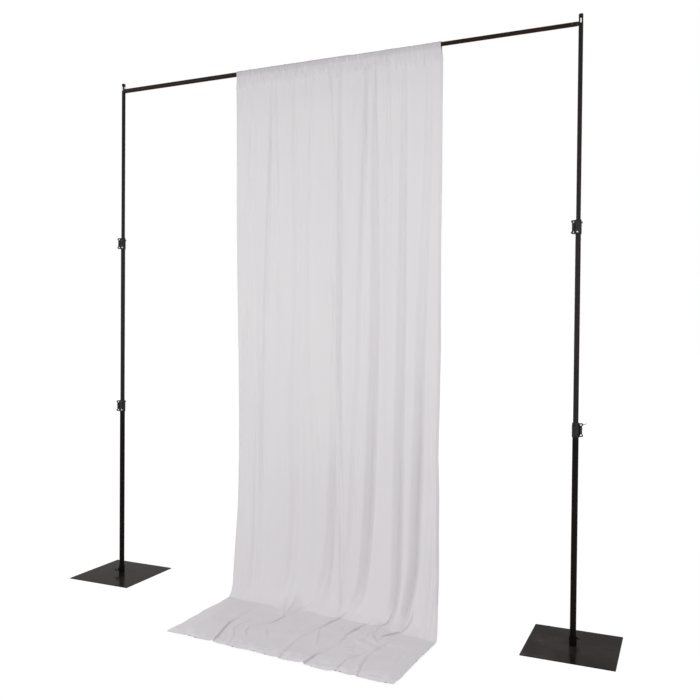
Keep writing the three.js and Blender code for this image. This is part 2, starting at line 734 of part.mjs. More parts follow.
const clothLines = Array.from({ length: clothColumns + 1 }, (_, i) => clothLine(i / clothColumns));

// The points of a line's front face, then those of its back face from the end to the start.
function bothFaces(line) {
  const face = (side) => line.map((point) => [
    point.x,
    point.y + side * point.frontY * clothThick / 2,
    Math.max(0, point.z + side * point.frontZ * clothThick / 2),
  ]);
  return [...face(1), ...face(-1).reverse()];
}

// The outer loop runs over the bar, down the front face and up the back face, and the inner
// loop is the pocket that the bar goes through.
function hangingCloth() {
  const arcStep = halfTurn / pocketArcSteps;
  const inner = (mouthRingRadius + pocketClear) / Math.cos(arcStep / 2);
  const arc = (x, radius) => Array.from({ length: pocketArcSteps + 1 }, (_, i) => {
    const angle = arcStep * i;
    return [x, radius * Math.cos(angle), barHeight + radius * Math.sin(angle)];
  });
  return skin(
    clothLines.map(({ hanging }) => [
      ...arc(hanging[0].x, inner + clothThick), ...bothFaces(hanging),
    ]),
    clothLines.map(({ hanging }) => [
      ...arc(hanging[0].x, inner), [hanging[0].x, 0, barHeight - pocketDepth + clothThick],
    ]),
    clothLines[0].hanging.length,
  );
}

function clothTrain() {
  const loops = clothLines.map(({ train }) => bothFaces(train));
  return skin(loops, clothLines.map(() => []), clothLines[0].train.length);
}

function addCloth(parent) {
  piece('drape', hangingCloth(), whiteCloth, parent);
  piece('drape_train', clothTrain(), whiteCloth, parent);
}

const backdrop = new THREE.Group();
backdrop.position.y = poleLine;
// The uprights are alike, and the right one stands the other way round.
addUpright('left', -poleSpacing / 2, leftBaseTurn,
  { height: lowerClampHeight, turn: leftLowerClampTurn, tab: false },
  { height: upperClampHeight, turn: leftUpperClampTurn, tab: false }, backdrop);
addUpright('right', poleSpacing / 2, rightBaseTurn,
  { height: lowerClampHeight, turn: rightLowerClampTurn, tab: true },
  { height: upperClampHeight - rightMidTubeDrop, turn: rightUpperClampTurn, tab: false }, backdrop);
addCrossbar(backdrop);
addCloth(backdrop);

export default backdrop;
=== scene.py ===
import math
import bpy
import numpy as np
from mathutils import Matrix, Vector


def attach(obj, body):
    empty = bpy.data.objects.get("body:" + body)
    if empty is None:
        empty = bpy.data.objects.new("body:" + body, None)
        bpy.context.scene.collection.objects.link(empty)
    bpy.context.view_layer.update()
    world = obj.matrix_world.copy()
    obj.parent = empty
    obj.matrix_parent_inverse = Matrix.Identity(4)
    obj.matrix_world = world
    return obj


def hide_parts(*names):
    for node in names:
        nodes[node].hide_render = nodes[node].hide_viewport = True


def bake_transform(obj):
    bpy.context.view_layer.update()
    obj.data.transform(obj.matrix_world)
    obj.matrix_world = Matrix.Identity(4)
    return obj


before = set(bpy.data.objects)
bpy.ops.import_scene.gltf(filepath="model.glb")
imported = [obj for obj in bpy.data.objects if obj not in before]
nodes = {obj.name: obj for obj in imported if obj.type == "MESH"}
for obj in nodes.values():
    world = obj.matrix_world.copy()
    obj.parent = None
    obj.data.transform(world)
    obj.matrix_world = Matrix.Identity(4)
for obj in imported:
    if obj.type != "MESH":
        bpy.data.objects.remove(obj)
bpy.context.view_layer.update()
print("frame loaded:", len(nodes), "solids")

# camera, placed where the photograph was taken from
cameraView = {
    "place": (1.8629, -3.5976, 1.4893),
    "turn": -0.4112,    # radians, away from +Y
    "down": 0.0159,
    "roll": 0.0086,
    "lens": 39.877,
    "sensor": 36.0,
    "farthest": 200,
}


def addCamera(view):
    turn, down, roll = view["turn"], view["down"], view["roll"]
    flat = Vector((math.sin(turn), math.cos(turn), 0))
    side = Vector((math.cos(turn), -math.sin(turn), 0))
    up = Vector((0, 0, 1))
    ahead = flat * math.cos(down) - up * math.sin(down)
    above = flat * math.sin(down) + up * math.cos(down)
    right = side * math.cos(roll) + above * math.sin(roll)
    top = above * math.cos(roll) - side * math.sin(roll)
    data = bpy.data.cameras.new("camera")
    data.lens = view["lens"]
    data.sensor_width = view["sensor"]
    data.clip_end = view["farthest"]
    camera = bpy.data.objects.new("camera", data)
    bpy.context.scene.collection.objects.link(camera)
    camera.matrix_world = Matrix((
        (right.x, top.x, -ahead.x, view["place"][0]),
        (right.y, top.y, -ahead.y, view["place"][1]),
        (right.z, top.z, -ahead.z, view["place"][2]),
        (0, 0, 0, 1),
    ))
    bpy.context.scene.camera = camera


addCamera(cameraView)
print("camera set")


# shader maths: a wire is one output socket, and sums on wires add Math nodes
class Wire:
    def __init__(self, recipe, socket):
        self.recipe = recipe
        self.socket = socket

    def maths(self, operation, *values):
        return self.recipe.node("ShaderNodeMath", {"operation": operation}, dict(enumerate(values)))

    def __add__(self, other):
        return self.maths("ADD", self, other)

    def __radd__(self, other):
        return self.maths("ADD", other, self)

    def __sub__(self, other):
        return self.maths("SUBTRACT", self, other)

    def __rsub__(self, other):
        return self.maths("SUBTRACT", other, self)

    def __mul__(self, other):
        return self.maths("MULTIPLY", self, other)

    def __rmul__(self, other):
        return self.maths("MULTIPLY", other, self)

    def size(self):
        return self.maths("ABSOLUTE", self)

    def wave(self):
        return self.maths("SINE", self)

    def orMore(self, other):
        return self.maths("MAXIMUM", self, other)


class Recipe:
    def __init__(self, tree):
        self.tree = tree
        tree.nodes.clear()

    # adds one node: its settings first, then the values or wires of its inputs
    def node(self, kind, settings=None, inputs=None, output=0):
        made = self.tree.nodes.new(kind)
        for name, value in (settings or {}).items():
            setattr(made, name, value)
        for name, value in (inputs or {}).items():
            if isinstance(value, Wire):
                self.tree.links.new(value.socket, made.inputs[name])
            else:
                made.inputs[name].default_value = value
        return Wire(self, made.outputs[output]) if made.outputs else None

    def place(self):
        return self.node("ShaderNodeTexCoord", {}, {}, "Object")

    # three scales stretch the noise along the axes
    def noise(self, place, scale, detail=2.0, roughness=0.5):
        if isinstance(scale, tuple):
            place = self.node("ShaderNodeMapping", {}, {"Vector": place, "Scale": scale})
            scale = 1.0
        return self.node("ShaderNodeTexNoise", {}, {
            "Vector": place, "Scale": scale, "Detail": detail, "Roughness": roughness})

    def part(self, place, axis):
        return self.node("ShaderNodeSeparateXYZ", {}, {"Vector": place}, axis)

    # 0 below low, 1 above high, eased between them
    def step(self, value, low, high):
        return self.node("ShaderNodeMapRange", {"interpolation_type": "SMOOTHSTEP"}, {
            "Value": value, "From Min": low, "From Max": high})

    def between(self, share, first, second):
        paints = [value if isinstance(value, Wire) else (*value, 1) for value in (first, second)]
        return self.node("ShaderNodeMix", {"data_type": "RGBA"}, {
            0: share, 6: paints[0], 7: paints[1]}, 2)

    def bump(self, height, strength, distance):
        return self.node("ShaderNodeBump", {}, {
            "Height": height, "Strength": strength, "Distance": distance})


def newRecipe(name):
    material = bpy.data.materials.new(name)
    material.use_nodes = True
    return material, Recipe(material.node_tree)


def surfaced(material, recipe, settings):
    shader = recipe.node("ShaderNodeBsdfPrincipled", {}, settings)
    recipe.node("ShaderNodeOutputMaterial", {}, {"Surface": shader})
    return material


# In the looks below a scale is a noise's, per metre, and a span is the stretch of a noise or of a
# length over which an effect comes in. A bump is its strength and its distance.

# black-brown paint on tubes and sockets: fine orange peel, rub marks along the tube. The lower
# tubes look blacker than the upper ones because of painted shade: they and the sockets get a
# darker, less shiny copy of the paint. The crossbar's copy is browner.
tubePaint = {
    "dark": (0.0082, 0.0062, 0.0056),
    "light": (0.0152, 0.0122, 0.0114),
    "rubbed": (0.034, 0.028, 0.025),
    "cloudScale": 9.0,
    "streakScale": (420.0, 420.0, 3.0),
    "rubSpan": (0.66, 0.78), "rubShare": 0.4, "rubRough": 0.08,
    "smooth": 0.34,
    "dull": 0.50,
    "shine": 0.10,
    "peelScale": 700.0, "peelBump": (0.10, 0.0002),
}
# a darker, less shiny copy of the tube paint: painted shade on the lower tubes and sockets
shadedLowerPaint = dict(
    tubePaint, dark=(0.0036, 0.0022, 0.0016), light=(0.0066, 0.0042, 0.0033),
    rubbed=(0.022, 0.017, 0.015), shine=0.055)
barPaint = dict(
    tubePaint, dark=(0.0105, 0.0046, 0.0034), light=(0.0180, 0.0086, 0.0068),
    rubbed=(0.036, 0.026, 0.022), shine=0.085)


def makeTubePaint(name, look):
    material, recipe = newRecipe(name)
    place = recipe.place()
    cloud = recipe.noise(place, look["cloudScale"], detail=3.0)
    peel = recipe.noise(place, look["peelScale"])
    streaks = recipe.noise(place, look["streakScale"], detail=3.0, roughness=0.6)
    rub = recipe.step(streaks, *look["rubSpan"])
    paint = recipe.between(cloud, look["dark"], look["light"])
    return surfaced(material, recipe, {
        "Base Color": recipe.between(rub * look["rubShare"], paint, look["rubbed"]),
        "Roughness": look["smooth"] + (look["dull"] - look["smooth"]) * cloud + rub * look["rubRough"],
        "Specular IOR Level": look["shine"],
        "Normal": recipe.bump(peel, *look["peelBump"]),
    })


# black-brown enamel of the base plates: soft smudges, dust and a few fine scratches
plateEnamel = {
    "deep": (0.0125, 0.0085, 0.0068),
    "worn": (0.0215, 0.0155, 0.0128),
    "dust": (0.12, 0.100, 0.088),
    "smudgeScale": 6.5, "smudgeSpan": (0.38, 0.68),
    "dustScale": 210.0, "dustSpan": (0.70, 0.80), "dustShare": 0.14, "dustRough": 0.10,
    "scratchScale": (14.0, 620.0, 620.0), "scratchSpan": (0.69, 0.74), "scratchShare": 0.10,
    "scratchDeep": 0.6,
    "smooth": 0.13,
    "dull": 0.30,
    "shine": 0.0150,
    "peelScale": 260.0, "peelBump": (0.05, 0.0003),
}


def makePlateEnamel(look):
    material, recipe = newRecipe("plate enamel")
    place = recipe.place()
    smudges = recipe.noise(place, look["smudgeScale"], detail=4.0, roughness=0.55)
    smudge = recipe.step(smudges, *look["smudgeSpan"])
    dust = recipe.step(recipe.noise(place, look["dustScale"]), *look["dustSpan"])
    scratch = recipe.step(recipe.noise(place, look["scratchScale"]), *look["scratchSpan"])
    peel = recipe.noise(place, look["peelScale"], detail=1.0)
    paint = recipe.between(smudge, look["deep"], look["worn"])
    dirt = dust * look["dustShare"] + scratch * look["scratchShare"]
    return surfaced(material, recipe, {
        "Base Color": recipe.between(dirt, paint, look["dust"]),
        "Roughness": look["smooth"] + (look["dull"] - look["smooth"]) * smudge + dust * look["dustRough"],
        "Specular IOR Level": look["shine"],
        "Normal": recipe.bump(peel - scratch * look["scratchDeep"], *look["peelBump"]),
    })


# satin moulded plastic of the clamps and caps: fine spark-eroded grain, paler scuffs
clampPlastic = {
    "black": (0.0062, 0.0058, 0.0056),
    "grey": (0.0115, 0.0108, 0.0104),
    "scuff": (0.036, 0.034, 0.033),
    "cloudScale": 60.0,
    "scuffScale": 190.0, "scuffSpan": (0.64, 0.76), "scuffShare": 0.35, "scuffRough": 0.10,
    "smooth": 0.42,
    "cloudRough": 0.10,
    "shine": 0.18,
    "grainScale": 2400.0, "grainBump": (0.22, 0.0001),
}
# dull black nylon of the guide plugs, the mouth ring and the hook pads, without scuffs
nylonLook = dict(
    clampPlastic, black=(0.010, 0.010, 0.0104), grey=(0.020, 0.020, 0.021), cloudScale=80.0,
    scuffShare=0, scuffRough=0, smooth=0.52, cloudRough=0.12, shine=0.3, grainScale=1600.0,
    grainBump=(0.15, 0.0001))


def makePlastic(name, look):
    material, recipe = newRecipe(name)
    place = recipe.place()
    cloud = recipe.noise(place, look["cloudScale"], detail=3.0)
    grain = recipe.noise(place, look["grainScale"], detail=1.0)
    scuffs = recipe.noise(place, look["scuffScale"], detail=4.0, roughness=0.65)
    scuff = recipe.step(scuffs, *look["scuffSpan"])
    plastic = recipe.between(cloud, look["black"], look["grey"])
    return surfaced(material, recipe, {
        "Base Color": recipe.between(scuff * look["scuffShare"], plastic, look["scuff"]),
        "Roughness": look["smooth"] + cloud * look["cloudRough"] + scuff * look["scuffRough"],
        "Specular IOR Level": look["shine"],
        "Normal": recipe.bump(grain, *look["grainBump"]),
    })


# steel of screws, hooks and pins: cloudy plating and turning marks, bright or blackened
zincSteel = {
    "bright": (0.62, 0.61, 0.59),
    "tarnish": (0.40, 0.38, 0.35),
    "cloudScale": 120.0,
    "tarnishSpan": (0.35, 0.75),
    "metal": 0.95,
    "smooth": 0.28,
    "cloudRough": 0.22,
    "markScale": (150.0, 150.0, 2600.0), "markBump": (0.12, 0.0001),
}
blackSteel = dict(zincSteel, bright=(0.060, 0.054, 0.050), tarnish=(0.026, 0.022, 0.020), smooth=0.40)


def makeSteel(name, look):
    material, recipe = newRecipe(name)
    place = recipe.place()
    cloud = recipe.noise(place, look["cloudScale"], detail=4.0, roughness=0.6)
    tarnish = recipe.step(cloud, *look["tarnishSpan"])
    return surfaced(material, recipe, {
        "Base Color": recipe.between(tarnish, look["bright"], look["tarnish"]),
        "Metallic": look["metal"],
        "Roughness": look["smooth"] + cloud * look["cloudRough"],
        "Normal": recipe.bump(recipe.noise(place, look["markScale"]), *look["markBump"]),
    })


finishes = {
    "tube_paint": makeTubePaint("tube paint", tubePaint),
    "shaded_lower_paint": makeTubePaint("lower tube paint with painted shade", shadedLowerPaint),
    "bar_paint": makeTubePaint("bar paint", barPaint),
    "plate_enamel": makePlateEnamel(plateEnamel),
    "clamp_plastic": makePlastic("clamp plastic", clampPlastic),
    "nylon": makePlastic("nylon", nylonLook),
    "zinc_steel": makeSteel("zinc steel", zincSteel),
    "black_steel": makeSteel("black steel", blackSteel),
}
finishOfPart = (
    ("base_plate", "plate_enamel"),
    ("base_socket", "shaded_lower_paint"),
    ("wing_screw", "black_steel"),
    ("collar", "clamp_plastic"),
    ("lever", "clamp_plastic"),
    ("head_cap", "clamp_plastic"),
    ("clamp_pin", "black_steel"),
    ("eye_bolt", "black_steel"),
    ("nut", "black_steel"),
    ("clamp_screw", "zinc_steel"),
    ("hook", "black_steel"),
    ("rivet", "black_steel"),
    ("plug", "nylon"),
    ("mouth_ring", "nylon"),
    ("lower_tube", "shaded_lower_paint"),
    ("outer_tube", "bar_paint"),
    ("inner_tube", "bar_paint"),
    ("tube", "tube_paint"),
    ("head", "tube_paint"),
)

for name, node in nodes.items():
    for ending, finish in finishOfPart:
        if name.endswith(ending):
            node.data.materials.clear()
            node.data.materials.append(finishes[finish])
            break
print("finishes on the solids")


# a half-round pad under each hook's blade, between the bar's end and the pole
hookPad = {
    "radius": 0.0098,
    "height": 3.005,
    "cutAbove": 0.0006,
    "poleLine": 0.269,
    "edge": 0.0006,
    "spans": {"left": (-1.35855, -1.35610), "right": (1.35315, 1.35855)},
}


def makeHookPad(pad, side):
    first, last = pad["spans"][side]
    bpy.ops.object.select_all(action="DESELECT")
    bpy.ops.mesh.primitive_cylinder_add(
        vertices=32, radius=pad["radius"], depth=last - first, rotation=(0, math.pi / 2, 0))
    made = bpy.context.object
    made.name = side + "_hook_pad"
    bpy.ops.object.transform_apply(location=False, rotation=True, scale=False)
    bpy.ops.transform.translate(value=((first + last) / 2, pad["poleLine"], pad["height"]))
    bpy.ops.object.transform_apply(location=True, rotation=False, scale=False)
    bpy.ops.object.mode_set(mode="EDIT")
    bpy.ops.mesh.select_all(action="SELECT")
    bpy.ops.mesh.bisect(
        plane_co=(0, 0, pad["height"] + pad["cutAbove"]), plane_no=(0, 0, 1),
        use_fill=True, clear_outer=True)
    bpy.ops.mesh.select_all(action="SELECT")
    bpy.ops.mesh.bevel(offset=pad["edge"], segments=2, affect="EDGES", clamp_overlap=True)
    bpy.ops.object.mode_set(mode="OBJECT")
    bpy.ops.object.shade_smooth_by_angle(angle=math.radians(40))
    made.data.materials.append(finishes["nylon"])
    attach(made, side + "_top")


for side in hookPad["spans"]:
    makeHookPad(hookPad, side)
print("hook pads made")


# the cloth's cut, its place on the bar, how finely it is divided and how it follows the
# telescoping pole, in metres
drapeCut = {
    "width": 1.524,
    "poleLine": 0.269,
    "barHeight": 3.005,
    "pocketDeep": 0.095,
    "thick": 0.0010,
    "hemThick": 0.0021,
    "columns": 300,
    "rowStep": 0.014,
    "bendFrom": 0.16,
    "trainRows": 138,
    "upperSplit": 1.465,
    "lowerSplit": 0.18,
    "stillBelow": 0.02, "stillAbove": 2.908,
    "besideSplit": 0.002,
}
seamHeight = drapeCut["barHeight"] - drapeCut["pocketDeep"]
anyPhase = 6.3    # radians, a little more than a whole turn
mm = 0.001


def eased(value, low, high):
    share = np.clip((value - low) / (high - low), 0, 1)
    return share * share * (3 - 2 * share)


def bell(value):
    return np.exp(-value * value)


# a row of values evened out by a kernel of odd length, its ends carried on
def softened(row, kernel):
    padded = np.pad(row, len(kernel) // 2, mode="edge")
    return np.convolve(padded, kernel / kernel.sum(), mode="valid")


# height, left edge and right edge
drapeEdges = (
    (3.03, -0.5575, 0.6775), (2.89, -0.5561, 0.6850), (2.74, -0.5530, 0.6852), (2.51, -0.5486, 0.6850),
    (2.41, -0.5475, 0.6861), (2.20, -0.5450, 0.6855), (1.99, -0.5416, 0.6838), (1.70, -0.5355, 0.6845),
    (1.42, -0.5283, 0.6873), (1.14, -0.5238, 0.6843), (0.87, -0.5217, 0.6793), (0.65, -0.5235, 0.6870),
    (0.54, -0.5259, 0.6900), (0.45, -0.5290, 0.6940), (0.355, -0.5326, 0.7031), (0.286, -0.5345, 0.7099),
    (0.20, -0.5339, 0.7171), (0.114, -0.5297, 0.7278), (0.06, -0.5220, 0.7390), (0.00, -0.5135, 0.7560),
)


# the outline's left and right edge at each height
def edgesAt(height):
    levels, left, right = zip(*drapeEdges)
    return np.interp(height, levels[::-1], left[::-1]), np.interp(height, levels[::-1], right[::-1])


# the heights at which keyed values are worked out, and how many of them round off a corner
keyGrid = {"low": -0.3, "high": 3.3, "levels": 721, "window": 25}


# a value by height, through keys that are listed from the top down, their corners rounded off
def keyed(height, levels, values):
    grid = np.linspace(keyGrid["low"], keyGrid["high"], keyGrid["levels"])
    line = np.interp(grid, levels[::-1], values[::-1])
    return np.interp(height, grid, softened(line, np.hanning(keyGrid["window"])))


# folds that run down the cloth: height and place in metres, depth behind the sheet's face and half
# width in millimetres
longFolds = (
    ((2.95, -0.43, 0, 12), (2.79, -0.436, 3, 12), (2.5, -0.454, 4, 16), (1.7, -0.474, 3, 14),
     (1.24, -0.491, 3, 14), (0.83, -0.488, 0, 14)),
    ((1.45, -0.411, 0, 7), (1.24, -0.411, 2.8, 8), (0.84, -0.408, 3.5, 9), (0.44, -0.407, 3, 12),
     (0.16, -0.401, 4, 20), (0, -0.392, 1, 20)),
    ((2.95, -0.322, 4.5, 7), (2.78, -0.325, 5.5, 7), (2.49, -0.329, 6, 11), (2.15, -0.339, 6, 13),
     (1.7, -0.349, 6, 16), (1.13, -0.357, 5, 18), (0.84, -0.362, 5.5, 20), (0.44, -0.361, 2, 24),
     (0, -0.344, 0, 24)),
    ((2.95, -0.294, 5, 7), (2.77, -0.292, 5, 8), (2.49, -0.284, 4, 10), (2.15, -0.275, 3, 12),
     (1.7, -0.258, 2, 14), (1.25, -0.248, 0, 14)),
    ((2.95, -0.183, 4, 8), (2.76, -0.178, 5, 9), (2.48, -0.169, 4, 18), (2.14, -0.154, 5, 22),
     (1.7, -0.143, 5, 24), (1.25, -0.159, 6, 26), (0.86, -0.155, 6, 26), (0.46, -0.148, 6, 26),
     (0.19, -0.151, 7, 26), (0, -0.151, 3, 30)),
    ((2.95, -0.068, 4, 8), (2.75, -0.071, 4, 9), (2.47, -0.075, 3, 12), (2.14, -0.079, 2, 12),
     (1.7, -0.075, 3, 12), (1.25, -0.065, 1, 14), (0.86, -0.024, 5, 22), (0.5, -0.015, 2, 30),
     (0, 0, 0, 30)),
    ((2.95, 0.045, 5, 7), (2.74, 0.057, 6, 8), (2.46, 0.059, 4, 18), (2.13, 0.062, 3, 18),
     (1.88, 0.07, 3, 12), (1.7, 0.079, 6, 9), (1.5, 0.078, 4, 10), (1.26, 0.076, 4, 16),
     (0.87, 0.08, 10, 22), (0.49, 0.074, 12, 26), (0.22, 0.071, 11, 30), (0.08, 0.041, 8, 34),
     (0, 0.025, 4, 40)),
    ((2.95, 0.104, 7, 8), (2.73, 0.105, 7, 10), (2.46, 0.108, 8, 14), (2.13, 0.111, 8, 15),
     (1.7, 0.109, 10, 17), (1.26, 0.107, 12, 20), (0.87, 0.122, 9, 18), (0.49, 0.138, 6, 16),
     (0.23, 0.158, 6, 14), (0, 0.191, 5, 12)),
    ((2.95, 0.257, 8, 9), (2.71, 0.259, 9, 11), (2.45, 0.255, 6, 12), (2.12, 0.247, 6, 16),
     (1.69, 0.239, 5, 22), (1.26, 0.232, 5, 22), (0.88, 0.212, 5, 22), (0.5, 0.2, 4, 18),
     (0.23, 0.191, 3, 20), (0, 0.178, 1, 20)),
    ((2.95, 0.309, 7, 9), (2.71, 0.311, 8, 11), (2.44, 0.313, 9, 18), (2.12, 0.316, 10, 18),
     (1.69, 0.318, 12, 24), (1.26, 0.313, 13, 25), (0.89, 0.305, 14, 25), (0.51, 0.294, 15, 27),
     (0.22, 0.289, 15, 27), (0.12, 0.278, 14, 28), (0.07, 0.256, 10, 30), (0, 0.213, 6, 32)),
    ((2.95, 0.388, 6, 8), (2.7, 0.391, 6, 10), (2.44, 0.388, 6, 18), (2.12, 0.391, 4, 20),
     (1.69, 0.389, 3, 18), (1.26, 0.399, 3, 18), (0.89, 0.403, 1, 18), (0.5, 0.401, 0, 20)),
    ((2.95, 0.474, 7, 9), (2.69, 0.475, 8, 14), (2.43, 0.475, 9, 18), (2.11, 0.472, 10, 19),
     (1.69, 0.471, 11, 21), (1.27, 0.467, 13, 24), (0.9, 0.46, 15, 26), (0.53, 0.462, 17, 27),
     (0.27, 0.475, 18, 27), (0.19, 0.484, 18, 25), (0.09, 0.482, 16, 22), (0, 0.464, 10, 20)),
    ((2.95, 0.612, 5, 9), (2.67, 0.612, 6, 15), (2.42, 0.61, 5, 20), (2.11, 0.597, 6, 22),
     (1.69, 0.585, 9, 23), (1.27, 0.575, 12, 24), (0.9, 0.57, 15, 26), (0.54, 0.562, 17, 28),
     (0.29, 0.573, 17.5, 28), (0.17, 0.566, 17.5, 26), (0.08, 0.555, 16, 23), (0, 0.549, 10, 20)),
    ((1.45, 0.65, 0, 15), (1.27, 0.644, 2, 14), (0.91, 0.642, 3, 14), (0.54, 0.645, 4, 16),
     (0.3, 0.651, 7, 20), (0.12, 0.657, 7, 22), (0, 0.652, 4, 24)),
    ((0.5, 0.691, 0, 12), (0.24, 0.695, 5, 10), (0.13, 0.694, 6, 10), (0, 0.701, 3, 12)),
)
# how much deeper and wider than in the table the folds are, more so low down and less near the
# bar, and how round their bottoms and shoulders are
foldShape = {
    "deeper": 2.10,
    "wider": 1.20,
    "lowMore": 0.08, "lowSpan": (0.5, 1.4),
    "highLess": 0.30, "highSpan": (2.50, 2.85),
    "bottomRound": 0.03,
    "shoulderRound": 0.02,
}


# a fold with two plain sides, its bottom and its shoulders only a little rounded
def trough(value):
    rest = 1 - np.sqrt(value * value + foldShape["bottomRound"])
    return 0.5 * (rest + np.sqrt(rest * rest + foldShape["shoulderRound"]))


# how far the cloth lies behind its plain face at a place across and a height
def foldDepth(across, height):
    shape = foldShape
    low = 1 - eased(height, *shape["lowSpan"])
    high = eased(height, *shape["highSpan"])
    gain = shape["deeper"] * (1 + shape["lowMore"] * low - shape["highLess"] * high)
    depth = np.zeros_like(across)
    for fold in longFolds:
        levels, *columns = zip(*fold)
        place, deep, wide = [keyed(height, levels, column) for column in columns]
        depth += gain * deep * mm * trough((across - place) / (wide * mm * shape["wider"]))
    return depth


# how far the two side edges roll back, by height
edgeRolls = {
    "left": (
        (2.95, 0.007), (2.6, 0.004), (2.2, 0.001), (1.2, 0.002), (0.6, 0.005), (0.3, 0.009),
        (0.0, 0.005)),
    "right": (
        (2.95, 0.005), (2.1, 0.006), (1.7, 0.010), (0.9, 0.010), (0.5, 0.017), (0.2, 0.021),
        (0.0, 0.008)),
    "wide": 0.0075,
}


def rollDepth(across, height, left, right):
    leftRoll, rightRoll = [keyed(height, *zip(*edgeRolls[side])) for side in ("left", "right")]
    wide = edgeRolls["wide"]
    return leftRoll * bell((across - left) / wide) + rightRoll * bell((right - across) / wide)


# Soft waves and short gathers that no one fold accounts for: how many, sizes and reach. A gather
# gets wider down the cloth, by up to its spread, and all of them drift sideways with the height.
looseFolds = {
    "seed": 11,
    "places": (-0.56, 0.70),
    "hungSpan": (2.60, 2.93),
    "gathers": 96, "gatherDeep": 0.0026, "gatherSigns": (-0.6, 1), "gatherWide": (0.0045, 0.0085),
    "gatherLong": (0.10, 0.45), "gatherSpread": 1.6,
    "spreadHalfway": 0.4,
    "gatherDrift": 0.03,
    "creases": 40, "creaseDeep": 0.0013, "creaseWide": (0.006, 0.018), "creaseLong": (0.25, 0.9),
    "creaseMiddle": (0.3, 2.7), "creaseDrift": 0.02,
    "waves": 34, "waveDeep": 0.0060, "waveWide": (0.016, 0.048), "waveMiddle": 1.5,
    "waveDrift": 0.05,
}


def looseDepth(across, height):
    loose = looseFolds
    random = np.random.default_rng(loose["seed"])
    below = np.clip(seamHeight - height, 0, None)
    depth = np.zeros_like(across)
    for i in range(loose["gathers"]):
        place = random.uniform(*loose["places"])
        wide = random.uniform(*loose["gatherWide"])
        deep = loose["gatherDeep"] * random.uniform(*loose["gatherSigns"])
        short, long = loose["gatherLong"]
        reach = short + (long - short) * random.random() ** 2
        spread = wide * (1 + loose["gatherSpread"] * below / (below + loose["spreadHalfway"]))
        drift = random.uniform(-loose["gatherDrift"], loose["gatherDrift"]) * below
        depth += deep * np.exp(-below / reach) * bell((across - place - drift) / spread)
    hung = 1 - eased(height, *loose["hungSpan"])
    for i in range(loose["creases"]):
        place = random.uniform(*loose["places"])
        wide = random.uniform(*loose["creaseWide"])
        deep = loose["creaseDeep"] * random.uniform(-1, 1)
        long = random.uniform(*loose["creaseLong"])
        middle = random.uniform(*loose["creaseMiddle"])
        drift = random.uniform(-loose["creaseDrift"], loose["creaseDrift"]) * (height - middle)
        fade = hung * bell((height - middle) / (long / 2))
        depth += deep * fade * bell((across - place - drift) / wide)
    for i in range(loose["waves"]):
        place = random.uniform(*loose["places"])
        wide = random.uniform(*loose["waveWide"])
        deep = loose["waveDeep"] * random.uniform(-1, 1)
        drift = random.uniform(-loose["waveDrift"], loose["waveDrift"]) * (height - loose["waveMiddle"])
        depth += deep * hung * bell((across - place - drift) / wide)
    return depth
